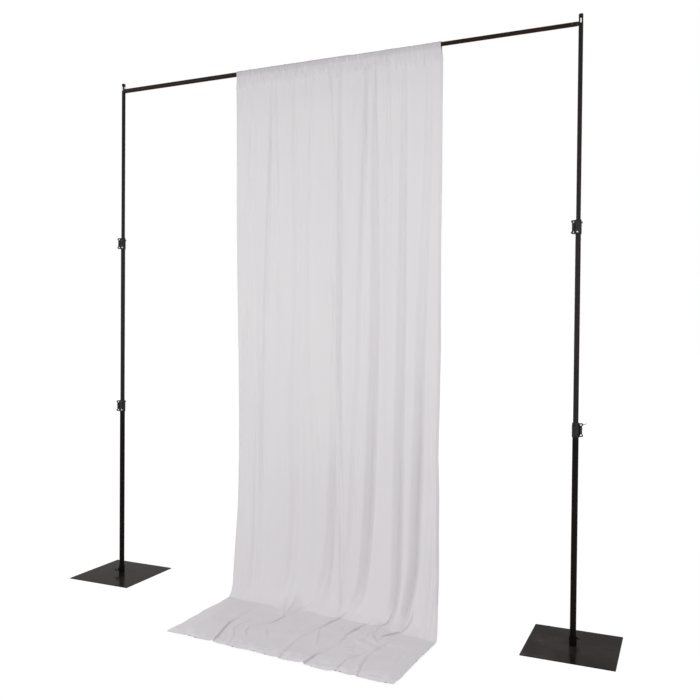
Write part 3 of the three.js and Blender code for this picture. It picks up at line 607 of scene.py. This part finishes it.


# creases at the foot and on the train. Each is a path of points: place across, way along the cloth
# counted so that on the floor it is the distance from the bar (on the hanging part less than the
# floor line's), height and half width in millimetres, and how dark its painted shade line is.
trainCreases = (
    ((-0.288, 0.118, 1, 18, 0), (-0.3, 0.235, 2.6, 18, 0.08), (-0.302, 0.343, 3, 17, 0.12),
     (-0.299, 0.445, 5.5, 13, 0.5), (-0.275, 0.552, 6.5, 12, 0.68), (-0.231, 0.722, 5, 12, 0.5)),
    ((-0.215, 0.372, 1, 14, 0), (-0.237, 0.441, 3, 13, 0.12), (-0.235, 0.516, 3, 12, 0.12),
     (-0.185, 0.59, 3, 13, 0.1), (-0.143, 0.728, 3, 12, 0.15)),
    ((-0.08, 0.26, 4, 10, 0.55), (-0.093, 0.319, 5, 10, 0.65), (-0.106, 0.366, 4, 11, 0.3),
     (-0.15, 0.422, 3, 11, 0.12), (-0.172, 0.466, 3.5, 10, 0.14), (-0.16, 0.521, 3.5, 10, 0.16),
     (-0.125, 0.569, 1, 10, 0.05)),
    ((-0.153, 0.08, 1, 8, 0.03), (-0.125, 0.165, 3, 8, 0.15), (-0.09, 0.25, 3, 8, 0.2)),
    ((-0.092, 0.06, 1, 8, 0.03), (-0.088, 0.16, 3, 8, 0.12), (-0.088, 0.25, 3, 8, 0.1)),
    ((0.012, 0.06, 1, 10, 0.03), (-0.045, 0.13, 3, 10, 0.12), (-0.084, 0.245, 1.5, 8, 0.05)),
    ((-0.094, 0.426, 1, 10, 0.02), (-0.055, 0.491, 3.2, 10, 0.1), (-0.012, 0.563, 1, 10, 0.02)),
    ((0.214, 0.115, 2, 10, 0.15), (0.199, 0.144, 4.5, 11, 0.5), (0.178, 0.224, 5, 11, 0.85),
     (0.159, 0.32, 4, 13, 0.22), (0.126, 0.449, 3.5, 16, 0.08), (0.121, 0.529, 3.5, 16, 0.1),
     (0.144, 0.764, 4.5, 15, 0.3)),
    ((0.155, 0.328, 2, 12, 0.08), (0.115, 0.383, 2.5, 12, 0.2), (0.076, 0.445, 1, 12, 0.02)),
    ((0.163, 0.328, 3, 9, 0.05), (0.21, 0.451, 6, 9, 0.09), (0.239, 0.534, 1.5, 9, 0.04)),
    ((0.372, 0.164, 2, 12, 0.2), (0.356, 0.183, 4, 13, 0.4), (0.335, 0.27, 6.5, 13, 0.8),
     (0.327, 0.376, 5.5, 15, 0.28), (0.333, 0.49, 5, 17, 0.14), (0.303, 0.589, 5, 15, 0.16),
     (0.285, 0.641, 6.5, 13, 0.6), (0.275, 0.778, 10, 13, 1)),
    ((0.474, 0.126, 3, 10, 0.4), (0.462, 0.172, 5, 10, 0.85), (0.414, 0.19, 4.5, 10, 0.45),
     (0.384, 0.222, 1, 10, 0.08)),
    ((0.597, 0.096, 1, 8, 0.2), (0.597, 0.14, 3.5, 8, 0.55), (0.585, 0.176, 4, 9, 0.6),
     (0.56, 0.222, 4, 9, 0.45), (0.537, 0.248, 6, 9, 0.95), (0.504, 0.29, 5.5, 10, 1),
     (0.484, 0.325, 1, 10, 0.1)),
    ((0.584, 0.277, 1.5, 22, 0.05), (0.539, 0.377, 5, 21, 0.12), (0.522, 0.464, 6.5, 21, 0.14),
     (0.509, 0.557, 6.5, 20, 0.18), (0.521, 0.654, 6, 19, 0.2), (0.556, 0.803, 5, 19, 0.2)),
    ((0.426, 0.318, 2, 9, 0.05), (0.449, 0.321, 5.5, 9, 0.14), (0.501, 0.393, 1.5, 9, 0.05)),
    ((0.493, 0.528, 1.5, 11, 0.2), (0.455, 0.583, 4.5, 13, 0.32), (0.437, 0.624, 3.5, 13, 0.24),
     (0.441, 0.783, 3, 11, 0.15)),
    ((0.64, 0.33, 0.5, 20, 0), (0.645, 0.458, 2, 20, 0.08), (0.651, 0.565, 0.5, 20, 0)),
    ((0.432, 0.169, 2.5, 13, 0.1), (0.44, 0.258, 4, 13, 0.2), (0.425, 0.357, 3.5, 13, 0.15),
     (0.42, 0.431, 1, 13, 0.02)),
    ((-0.44, 0.133, 0.5, 40, 0), (-0.44, 0.373, 2.4, 45, 0), (-0.42, 0.594, 1, 40, 0)),
    ((0.03, 0.168, 0.5, 40, 0), (0.04, 0.369, 3, 40, 0), (0.02, 0.587, 1, 40, 0)),
)
# shares of a crease's half width: how far it falls to the right and to the left, and where its
# painted shade line lies; that line's own width in metres
creaseShape = {"right": 0.45, "left": 1.25, "shadeLineAt": 0.5, "shadeLineWide": 0.0036}


# rise of the creases at the foot and on the train, and the painted shade line beside each
def creaseRise(across, away):
    shape = creaseShape
    rise = np.zeros_like(across)
    paintedShade = np.zeros_like(across)
    for path in trainCreases:
        nearest = np.full(across.shape, np.inf)
        signed, high, wide, shadeStrength = [np.zeros_like(across) for i in range(4)]
        for first, second in zip(path, path[1:]):
            dx, ds = second[0] - first[0], second[1] - first[1]
            along = (across - first[0]) * dx + (away - first[1]) * ds
            share = np.clip(along / math.hypot(dx, ds) ** 2, 0, 1)
            offX = across - first[0] - share * dx
            offS = away - first[1] - share * ds
            far = np.hypot(offX, offS)
            closer = far < nearest
            nearest = np.where(closer, far, nearest)
            signed = np.where(closer, far * np.sign(ds * offX - dx * offS), signed)
            high, wide, shadeStrength = [
                np.where(closer, first[k] + (second[k] - first[k]) * share, value)
                for k, value in ((2, high), (3, wide), (4, shadeStrength))]
        reach = wide * mm * np.where(signed > 0, shape["right"], shape["left"])
        rise += high * mm * bell(signed / reach)
        fromShadeLine = (signed - shape["shadeLineAt"] * wide * mm) / shape["shadeLineWide"]
        # a painted shade line, dark along one side of the crease
        paintedShade = np.maximum(paintedShade, shadeStrength * bell(fromShadeLine))
    return rise, paintedShade


# across the sheet: how far the floor line and the hem lie in front of the bar, and where the
# cloth starts to lean forwards
drapeReach = (
    (-0.55, 0.105, 0.678, 0.62), (-0.38, 0.122, 0.683, 0.62), (-0.23, 0.128, 0.694, 0.62),
    (-0.07, 0.132, 0.712, 0.62), (0.16, 0.145, 0.729, 0.65), (0.28, 0.164, 0.739, 0.67),
    (0.42, 0.185, 0.758, 0.70), (0.485, 0.205, 0.746, 0.71), (0.56, 0.228, 0.763, 0.73),
    (0.76, 0.246, 0.768, 0.78),
)
# one place where the foot juts out like a tent: across, how far, width of its left and right side
footTent = {"place": -0.092, "reach": 0.12, "leftWide": 0.062, "rightWide": 0.040}
# how the cloth comes down to the floor and lies on it. A column is followed in small steps: the
# first of them hang, and the last ones only go forwards.
drapeFoot = {
    "step": 0.002,
    "hangingSteps": 1450,
    "forwardSteps": 1300,
    "pastHem": 0.2,
    "reach": 0.050,
    "height": 0.045,
    "bendSteps": 20, "bendWide": 0.00564,
    "leftTaper": -0.006,
    "rightTaper": 0.052,
    "foldsEnd": (-0.005, 0.060), "foldsFrom": 0.06,
    "bulgeWindow": 55, "bulgeShare": 0.30, "bulgeFade": 0.06,
    "lyingSpan": (0.002, 0.045),
    "offFloor": 0.62,       # of the cloth's thickness
}


# one column's way from the pocket's seam down to the floor and on to the hem
def downLine(floorReach, hemReach, leanFrom, jut):
    foot = drapeFoot
    step, bend = foot["step"], foot["bendSteps"]
    heights = np.arange(seamHeight, 0, -step)
    lean = np.clip(1 - heights / leanFrom, 0, None) ** 2
    forward = (floorReach - jut) * lean + jut * np.exp(-heights / foot["height"])
    floor = np.arange(floorReach, hemReach + foot["pastHem"], step)
    y = np.concatenate((forward, floor))
    z = np.concatenate((heights, np.zeros_like(floor)))
    kernel = bell(np.arange(-bend, bend + 1) * step / foot["bendWide"])
    y = softened(y, kernel)
    z[2 * bend:] = softened(z, kernel)[2 * bend:]
    length = np.concatenate(([0], np.cumsum(np.hypot(np.diff(y), np.diff(z)))))
    return y, z, length, length[len(heights)]


# small unevenness of the cloth on the floor: long ripples everywhere, short ones in one patch
floorRipples = {
    "seed": 5,
    "long": {"count": 16, "sizes": (18, 60), "high": 0.0004},
    "short": {"count": 14, "sizes": (70, 170), "high": 0.0007},
    "patch": {"across": 0.42, "forward": 0.36, "wide": 0.15},
}


def floorRipple(across, forward):
    random = np.random.default_rng(floorRipples["seed"])
    patch = floorRipples["patch"]
    away = np.hypot(across - patch["across"], forward - patch["forward"])
    lift = np.zeros_like(across)
    for ripples, where in ((floorRipples["long"], 1), (floorRipples["short"], bell(away / patch["wide"]))):
        for i in range(ripples["count"]):
            turn, size = random.uniform(0, math.pi), random.uniform(*ripples["sizes"])
            way = across * math.cos(turn) + forward * math.sin(turn)
            wave = np.sin(size * way + random.uniform(0, anyPhase))
            lift += ripples["high"] * where * (1 + wave)
    return lift


# the stitched hem lies proud of the floor, here more and there less
hemWaves = {
    "seed": 8,
    "lift": 0.0016,
    "least": 0.0002,
    "count": 12,
    "sizes": (15, 110),
    "high": 0.0006,
    "fromHem": 0.030,
    "wide": 0.024,
}


def hemLift(across, fromHem):
    random = np.random.default_rng(hemWaves["seed"])
    lift = np.full_like(across, hemWaves["lift"])
    for i in range(hemWaves["count"]):
        size, phase = random.uniform(*hemWaves["sizes"]), random.uniform(0, anyPhase)
        lift += hemWaves["high"] * np.sin(size * across + phase)
    nearHem = bell((fromHem - hemWaves["fromHem"]) / hemWaves["wide"])
    return np.clip(lift, hemWaves["least"], None) * nearHem


# how much the cloth darkens in its folds, because less light gets into them: low down, and at
# the right more than that; over which heights, places and depths
foldShade = {
    "low": 0.06, "lowSpan": (1.0, 2.0),
    "right": 0.11, "rightSpan": (0.50, 0.56),
    "depthSpan": (0.006, 0.030),
}


def shadeInFolds(across, height, behind):
    low = 1 - eased(height, *foldShade["lowSpan"])
    right = eased(across, *foldShade["rightSpan"]) * (0.5 + 0.5 * low)
    shade = foldShade["low"] * low + foldShade["right"] * right
    return shade * eased(behind, *foldShade["depthSpan"])


# the part below the pocket, as rows of x, y, z, the length gone from the seam and the painted shade of
# creases and folds
def hangingRows():
    cut, foot = drapeCut, drapeFoot
    share = np.linspace(0, 1, cut["columns"] + 1)
    hangRows = int(round((seamHeight - cut["bendFrom"]) / cut["rowStep"])) + 1
    levels = np.linspace(seamHeight, cut["bendFrom"], hangRows)
    floorLeft, floorRight = edgesAt(0)
    floorX = floorLeft + (floorRight - floorLeft) * share
    across, *reaches = zip(*drapeReach)
    floorReach, hemReach, leanFrom = [np.interp(floorX, across, reach) for reach in reaches]
    tentSide = np.where(floorX < footTent["place"], footTent["leftWide"], footTent["rightWide"])
    tent = footTent["reach"] * bell((floorX - footTent["place"]) / tentSide)
    floorReach = floorReach + tent
    hanging, onwards = slice(foot["hangingSteps"]), slice(foot["forwardSteps"], None)
    lines = []
    for floorAt, hemAt, lean, jut in zip(floorReach, hemReach, leanFrom, foot["reach"] + tent):
        forward, height, length, toFloor = downLine(floorAt, hemAt, lean, jut)
        fromSeam = np.interp(-levels, -height[hanging], length[hanging])
        hem = np.interp(hemAt, forward[onwards], length[onwards])
        train = np.linspace(fromSeam[-1], hem, cut["trainRows"] + 1)[1:]
        places = np.concatenate((fromSeam, train))
        slopes = [np.interp(places, length, np.gradient(line, length)) for line in (forward, height)]
        lines.append((
            np.interp(places, length, forward), np.interp(places, length, height),
            places, places - toFloor, *slopes))
    forward, height, gone, onFloor, slopeForward, slopeHeight = [np.array(part).T for part in zip(*lines)]
    left, right = edgesAt(height)
    along = np.clip(onFloor, 0, None)
    left = left + foot["leftTaper"] * along
    right = right - foot["rightTaper"] * along
    x = left + (right - left) * share
    # on the floor a fold can only rise, and it dies out a little way along
    fading = 1 - eased(onFloor, *foot["foldsEnd"])
    behind = (foldDepth(x, height) + looseDepth(x, height) + rollDepth(x, height, left, right)) * fading
    atFoot = foldDepth(x, np.full_like(x, foot["foldsFrom"]))
    around = np.array([softened(row, np.hanning(foot["bulgeWindow"])) for row in atFoot])
    bulge = np.clip(around - atFoot, 0, None) * foot["bulgeShare"] * np.exp(-along / foot["bulgeFade"])
    rise, paintedShade = creaseRise(x, onFloor + floorReach)
    # the painted shade in the folds joins the creases' painted shade
    paintedShade = np.maximum(paintedShade, shadeInFolds(x, height, behind))
    lying = 1 - eased(height, *foot["lyingSpan"])
    rise = rise + lying * (bulge + floorRipple(x, forward) + hemLift(x, gone[-1] - gone))
    # the rise is square to the cloth: forwards where it hangs, upwards where it lies
    y = behind - forward + slopeHeight * rise + cut["poleLine"]
    z = np.maximum(height + slopeForward * rise, 0) + cut["thick"] * foot["offFloor"]
    return x, y, z, gone, paintedShade


# the rod pocket on the bar: it is wider round the bar's outer tube than round its inner one, and
# the panel is a little narrower where it is gathered
pocketShape = {
    "wideRound": 0.0152,
    "slimRound": 0.0128,
    "ringSpan": (0.150, 0.180),
    "seed": 23,
    "gathers": 70,
    "places": (-0.55, 0.68),
    "gatherWide": (0.0035, 0.007), "gatherDeep": (0.0003, 0.0018),
    "topShare": 0.5,
    "backGap": 0.0022, "backRows": 8,
    "roundRows": 12,
    "frontRows": 9,
    "leftPull": 0.011,
    "rightPull": 0.008,
    "pullAboveSeam": 0.01,
    "pulledBelowBar": 0.02,
}


# rows of points up the back, over the bar and down the front to the seam
def pocketRows(seamX, seamY):
    shape = pocketShape
    bar, pole = drapeCut["barHeight"], drapeCut["poleLine"]
    random = np.random.default_rng(shape["seed"])
    gathered = np.zeros_like(seamX)
    for i in range(shape["gathers"]):
        place, wide = random.uniform(*shape["places"]), random.uniform(*shape["gatherWide"])
        gathered += random.uniform(*shape["gatherDeep"]) * bell((seamX - place) / wide)
    ringed = 1 - eased(seamX, *shape["ringSpan"])
    around = shape["slimRound"] + (shape["wideRound"] - shape["slimRound"]) * ringed
    top = around + gathered * shape["topShare"]
    out = around + gathered
    outY, outZ = [], []
    for share in np.linspace(0, 1, shape["backRows"] + 1)[:-1]:
        outY.append((seamY + shape["backGap"]) * (1 - share) + (out + pole) * share)
        outZ.append(np.full_like(seamX, seamHeight + (bar - seamHeight) * share))
    for angle in np.linspace(0, math.pi, shape["roundRows"] + 1):
        outY.append(pole + out * math.cos(angle))
        outZ.append(bar + top * math.sin(angle))
    for share in np.linspace(0, 1, shape["frontRows"] + 1)[1:-1]:
        outY.append((pole - out) * (1 - share) + seamY * share)
        outZ.append(np.full_like(seamX, bar + (seamHeight - bar) * share))
    outZ = np.array(outZ)
    share = np.linspace(0, 1, len(seamX))
    pull = shape["leftPull"] * (1 - share) - shape["rightPull"] * share
    pulled = eased(outZ, seamHeight + shape["pullAboveSeam"], bar - shape["pulledBelowBar"])
    return seamX + pull * pulled, np.array(outY), outZ


def cutLengths(y, z):
    steps = np.hypot(np.diff(y, axis=0), np.diff(z, axis=0)).mean(axis=1)
    return np.concatenate(([0], np.cumsum(steps)))


# white cloth: plain fine weave, sewn hems, slightly uneven white, with painted shade and painted
# highlights. The spans of floor, bar, pocket and painted bar shades are heights, and those of hem,
# train and edges are distances from the edge.
clothLook = {
    "white": (0.672, 0.652, 0.664),
    "shade": (0.640, 0.618, 0.637),
    # the tone that painted shade mixes towards
    "paintedShadeTone": (0.33, 0.31, 0.35),
    "hemWhite": (0.690, 0.668, 0.684),
    # the tone of painted highlights
    "paintedLightTone": (0.735, 0.715, 0.730),
    "thread": (0.56, 0.54, 0.56),
    "speck": (0.10, 0.085, 0.08),
    "cloudScale": 1.6,
    "threadsDown": (950.0, 46.0, 1.0), "threadsAcross": (46.0, 950.0, 1.0),
    "weaveRough": 0.10, "weaveRelief": 0.10,
    "rough": 0.78,
    "creaseScale": (75.0, 75.0, 1.3), "creaseRelief": 0.8,
    "pullScale": (230.0, 230.0, 3.0),
    "barSpan": (2.55, 2.95),
    "pullRelief": 0.45,
    "crumpleScale": 26.0,
    "floorSpan": (0.02, 0.20),
    "hemSpan": (0.04, 0.13),
    # crumples: where painted highlights fall on them near the hem and how strong, and their relief
    "crumpleLightSpan": (0.44, 0.60), "crumpleLightShare": 0.75, "crumpleRelief": 1.4,
    "hemCrumple": 3.2,
    "pleatScale": (120.0, 120.0, 2.2),
    "pocketSpan": (2.895, 2.915),
    # painted shade in the pocket's pleat valleys and painted highlights on their ridges
    "pleatShadeSpan": (0.58, 0.70), "pleatShadeShare": 0.24,
    "pleatLightSpan": (0.26, 0.42), "pleatLightShare": 0.40,
    # painted shade of the bar behind the cloth, by height: from, to and how dark
    "paintedBarShades": ((2.70, 2.93, 0.06), (2.90, 2.98, 0.20), (2.978, 2.994, 0.19), (3.012, 3.020, 0.30)),
    "bottomHem": 0.035,
    "sideHem": 0.014,
    "hemSoft": 0.001, "hemShare": 0.6, "hemRelief": 0.40,
    "stitch": 0.0028, "stitchSpan": (0.0004, 0.0013),
    "dashSpan": (-0.6, 0.2),
    "pocketStitches": 0.5,
    "stitchShare": 0.4, "stitchRelief": 0.35,
    "speckScale": 48.0, "speckSpan": (0.60, 0.64),
    "trainSpan": (0.60, 0.62),
    "bottomEdge": (0.003, 0.006),
    "sideEdge": (0.003, 0.005),
    "speckShare": 0.8,
    "bump": (0.55, 0.0016),
}


# a grid of points becomes a closed cloth, thicker where it is folded over at the hems
def sheetFrom(name, grid, rows, wholeLength):
    cut = drapeCut
    x, y, z, length, paintedShade = [part[rows] for part in grid]
    columns = x.shape[1]
    points = np.stack((x, y, z), axis=-1).reshape(-1, 3)
    index = np.arange(len(points)).reshape(-1, columns)
    corners = (index[:-1, :-1], index[1:, :-1], index[1:, 1:], index[:-1, 1:])
    faces = np.stack([corner.ravel() for corner in corners], axis=-1)
    mesh = bpy.data.meshes.new(name)
    mesh.from_pydata(points.tolist(), [], faces.tolist())
    across = np.tile(np.linspace(0, cut["width"], columns), len(x))
    down = np.repeat(length, columns)
    corner = np.zeros(len(mesh.loops), int)
    mesh.loops.foreach_get("vertex_index", corner)
    layer = mesh.uv_layers.new(name="cut")
    layer.data.foreach_set("uv", np.stack((across[corner], down[corner]), axis=-1).ravel())
    # the painted shade of creases and folds is kept on the sheet
    mesh.attributes.new("paintedShade", "FLOAT", "POINT").data.foreach_set("value", paintedShade.ravel())
    sheet = bpy.data.objects.new(name, mesh)
    bpy.context.scene.collection.objects.link(sheet)
    hem = (down > wholeLength - clothLook["bottomHem"]) | (across < clothLook["sideHem"])
    hem |= across > cut["width"] - clothLook["sideHem"]
    sheet.vertex_groups.new(name="hem").add(np.flatnonzero(hem).tolist(), 1.0, "REPLACE")
    bpy.ops.object.select_all(action="DESELECT")
    sheet.select_set(True)
    bpy.context.view_layer.objects.active = sheet
    solidify = sheet.modifiers.new("thickness", "SOLIDIFY")
    solidify.thickness = cut["hemThick"]
    solidify.offset = 0
    solidify.vertex_group = "hem"
    solidify.thickness_vertex_group = cut["thick"] / cut["hemThick"]
    bpy.ops.object.modifier_apply(modifier="thickness")
    bpy.ops.object.shade_smooth_by_angle(angle=math.radians(60))
    print(name, "made,", len(sheet.data.polygons), "faces")
    return sheet


def makeCloth(look, width, wholeLength, seamAt):
    material, recipe = newRecipe("white cloth")
    place = recipe.place()
    cut = recipe.node("ShaderNodeUVMap", {"uv_map": "cut"})
    across, down = recipe.part(cut, 0), recipe.part(cut, 1)
    # painted shade of the creases and folds, read from the sheet
    paintedShade = recipe.node("ShaderNodeAttribute", {"attribute_name": "paintedShade"}, {}, "Fac")
    cloud = recipe.noise(place, look["cloudScale"], detail=3.0)
    threadsDown, threadsAcross = [
        recipe.noise(cut, look[name], detail=1.0) for name in ("threadsDown", "threadsAcross")]
    creases = recipe.noise(place, look["creaseScale"], detail=3.0, roughness=0.55)
    pulls = recipe.noise(place, look["pullScale"])
    crumple = recipe.noise(place, look["crumpleScale"], detail=4.0, roughness=0.55)
    height = recipe.part(place, 2)
    nearFloor = 1 - recipe.step(height, *look["floorSpan"])
    nearBar = recipe.step(height, *look["barSpan"])
    inPocket = recipe.step(height, *look["pocketSpan"])
    # rows of stitches along the hems and the pocket
    fromSide = width / 2 - (across - width / 2).size()
    fromHem = wholeLength - down
    stitches = 0
    for gap, along, strength in (
            (fromSide - look["sideHem"], down, 1),
            (fromHem - look["bottomHem"], across, 1),
            (down - seamAt, across, look["pocketStitches"])):
        line = 1 - recipe.step(gap.size(), *look["stitchSpan"])
        dashes = recipe.step((along * (math.tau / look["stitch"])).wave(), *look["dashSpan"])
        stitches = stitches + line * dashes * strength
    inHem = 1 - recipe.step(fromHem - look["bottomHem"], -look["hemSoft"], look["hemSoft"])
    nearHem = 1 - recipe.step(fromHem, *look["hemSpan"])
    # painted highlights on the crumples near the hem
    paintedCrumpleLight = recipe.step(crumple, *look["crumpleLightSpan"]) * nearHem
    # thin pleats where the pocket is bunched on the bar, in colour only: painted shade in the valleys,
    # painted highlights on the ridges
    pleats = recipe.noise(place, look["pleatScale"])
    paintedPleatShade = recipe.step(pleats, *look["pleatShadeSpan"]) * inPocket
    paintedPleatLight = (1 - recipe.step(pleats, *look["pleatLightSpan"])) * inPocket
    # painted shade of the bar behind the cloth, lighter down the pocket and faint just below it
    paintedBarShade = sum(recipe.step(height, low, high) * share for low, high, share in look["paintedBarShades"])
    # dark ends of overlock thread show here and there along the train's edges
    onTrain = 1 - recipe.step(fromHem, *look["trainSpan"])
    bottomEdge = 1 - recipe.step(fromHem, *look["bottomEdge"])
    sideEdge = (1 - recipe.step(width - across, *look["sideEdge"])) * onTrain
    specks = recipe.step(recipe.noise(place, look["speckScale"]), *look["speckSpan"])
    tone = recipe.between(cloud, look["white"], look["shade"])
    # over the uneven white: hem white, painted shade from the bar, the pleats, the creases and folds,
    # painted highlights on pleats and crumples, stitches and thread specks
    for share, paint in (
            (inHem * look["hemShare"], "hemWhite"),
            (paintedBarShade, "paintedShadeTone"),
            (paintedPleatShade * look["pleatShadeShare"], "paintedShadeTone"),
            (paintedPleatLight * look["pleatLightShare"], "paintedLightTone"),
            (paintedCrumpleLight * look["crumpleLightShare"], "paintedLightTone"),
            (stitches * look["stitchShare"], "thread"),
            (paintedShade, "paintedShadeTone"),
            ((bottomEdge + sideEdge) * specks * look["speckShare"], "speck")):
        tone = recipe.between(share, tone, look[paint])
    relief = (threadsDown + threadsAcross) * look["weaveRelief"] + creases * look["creaseRelief"]
    relief = relief + pulls * nearBar * look["pullRelief"]
    relief = relief + crumple * nearFloor * (look["crumpleRelief"] + nearHem * look["hemCrumple"])
    relief = relief - stitches * look["stitchRelief"] + inHem * look["hemRelief"]
    return surfaced(material, recipe, {
        "Base Color": tone,
        "Roughness": look["rough"] + (threadsDown - 0.5) * look["weaveRough"],
        "Sheen Weight": 0.10,
        "Sheen Roughness": 0.5,
        "Specular IOR Level": 0.25,
        "Normal": recipe.bump(relief, *look["bump"]),
    })


# one cloth in three lengths
def makeDrape():
    cut = drapeCut
    x, y, z, gone, paintedShade = hangingRows()
    pocketX, pocketY, pocketZ = pocketRows(x[0], y[0])
    pocketLength = cutLengths(np.vstack((pocketY, y[:1])), np.vstack((pocketZ, z[:1])))
    length = np.concatenate((pocketLength[:-1], pocketLength[-1] + gone.mean(axis=1)))
    grid = (
        np.vstack((pocketX, x)), np.vstack((pocketY, y)), np.vstack((pocketZ, z)),
        length, np.vstack((np.zeros_like(pocketX), paintedShade)))
    whole = float(length[-1])
    level = grid[2].mean(axis=1)
    first, second = [int(np.argmax(level <= cut[name])) for name in ("upperSplit", "lowerSplit")]
    upper = sheetFrom("drape_upper", grid, slice(0, first + 1), whole)
    lower = sheetFrom("drape_lower", grid, slice(first, second + 1), whole)
    train = sheetFrom("drape_foot", grid, slice(second, None), whole)
    material = makeCloth(clothLook, cut["width"], whole, pocketLength[-1])
    for sheet in (upper, lower, train):
        sheet.data.materials.append(material)
    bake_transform(upper)
    for sheet in (lower, train):
        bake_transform(sheet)
    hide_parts("drape")
    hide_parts("drape")
    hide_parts("drape", "drape_train")
    print("cloth made, cut", cut["width"], "by", round(whole, 3), "metres")


makeDrape()

# floor, surroundings and lamps
studio = {
    "skyLow": 0.365, "skyHigh": 0.60, "skySpan": (-0.1, 1.0), "skyColour": (0.985, 0.955, 1.0),
    "floorSize": 160, "floorWhite": 0.76,
    "nearGlow": 0.88,
    "glowSpan": (1.6, 7.0), "glowStrength": 1.06,
    "lamps": (
        {"name": "left lamp", "place": (-3.4, -3.0, 2.15), "aim": (0.1, 0.0, 1.7), "size": 2.2, "power": 85},
        {"name": "right lamp", "place": (3.6, -3.0, 2.15), "aim": (0.1, 0.0, 1.7), "size": 2.2, "power": 85},
        {"name": "near lamp", "place": (0.2, -1.9, 2.05), "aim": (0.1, 0.27, 2.05), "size": 1.2, "power": 5},
        {"name": "back lamp", "place": (-1.0, 4.6, 2.3), "aim": (0.1, 0.27, 1.5), "size": 2.4, "power": 70},
    ),
    "lampColour": (0.985, 1.0, 0.975),
}


# 1 for rays that should see the white surroundings: from the camera, in gloss and through glass
def seenRays(recipe):
    path = recipe.node("ShaderNodeLightPath").socket.node
    fromCamera, inGloss, throughGlass = [Wire(recipe, path.outputs[name]) for name in (
        "Is Camera Ray", "Is Glossy Ray", "Is Transmission Ray")]
    return fromCamera.orMore(inGloss.orMore(throughGlass))


def makeSky(look):
    world = bpy.data.worlds.new("sky")
    world.use_nodes = True
    bpy.context.scene.world = world
    recipe = Recipe(world.node_tree)
    up = recipe.part(recipe.node("ShaderNodeTexCoord", {}, {}, "Generated"), 2)
    level = look["skyLow"] + (look["skyHigh"] - look["skyLow"]) * recipe.step(up, *look["skySpan"])
    light = recipe.node("ShaderNodeBackground", {}, {"Color": (*look["skyColour"], 1), "Strength": level})
    white = recipe.node("ShaderNodeBackground", {}, {"Color": (1, 1, 1, 1), "Strength": 1.0})
    mixed = recipe.node("ShaderNodeMixShader", {}, {0: seenRays(recipe), 1: light, 2: white})
    recipe.node("ShaderNodeOutputWorld", {}, {"Surface": mixed})


# a white floor that takes the object's shadow, and turns to plain white further out
def makeFloor(look):
    bpy.ops.object.select_all(action="DESELECT")
    bpy.ops.mesh.primitive_plane_add(size=look["floorSize"], location=(0, 0, 0))
    floor = bpy.context.object
    floor.name = "floor"
    material, recipe = newRecipe("studio floor")
    far = recipe.node("ShaderNodeVectorMath", {"operation": "LENGTH"}, {0: recipe.place()}, "Value")
    glowing = look["nearGlow"] + (1 - look["nearGlow"]) * recipe.step(far, *look["glowSpan"])
    lit = recipe.node("ShaderNodeBsdfDiffuse", {}, {"Color": (*[look["floorWhite"]] * 3, 1)})
    glow = recipe.node("ShaderNodeEmission", {}, {"Color": (1, 1, 1, 1), "Strength": look["glowStrength"]})
    mixed = recipe.node("ShaderNodeMixShader", {}, {0: seenRays(recipe) * glowing, 1: lit, 2: glow})
    recipe.node("ShaderNodeOutputMaterial", {}, {"Surface": mixed})
    floor.data.materials.append(material)


def addLamp(lamp, colour):
    data = bpy.data.lights.new(lamp["name"], "AREA")
    data.shape = "SQUARE"
    data.size = lamp["size"]
    data.energy = lamp["power"]
    data.color = colour
    light = bpy.data.objects.new(lamp["name"], data)
    light.location = lamp["place"]
    light.rotation_euler = (Vector(lamp["aim"]) - Vector(lamp["place"])).to_track_quat("-Z", "Y").to_euler()
    light.visible_camera = False
    bpy.context.scene.collection.objects.link(light)


makeSky(studio)
makeFloor(studio)
for lamp in studio["lamps"]:
    addLamp(lamp, studio["lampColour"])
bpy.context.scene.view_settings.view_transform = "Standard"
print("studio lit")
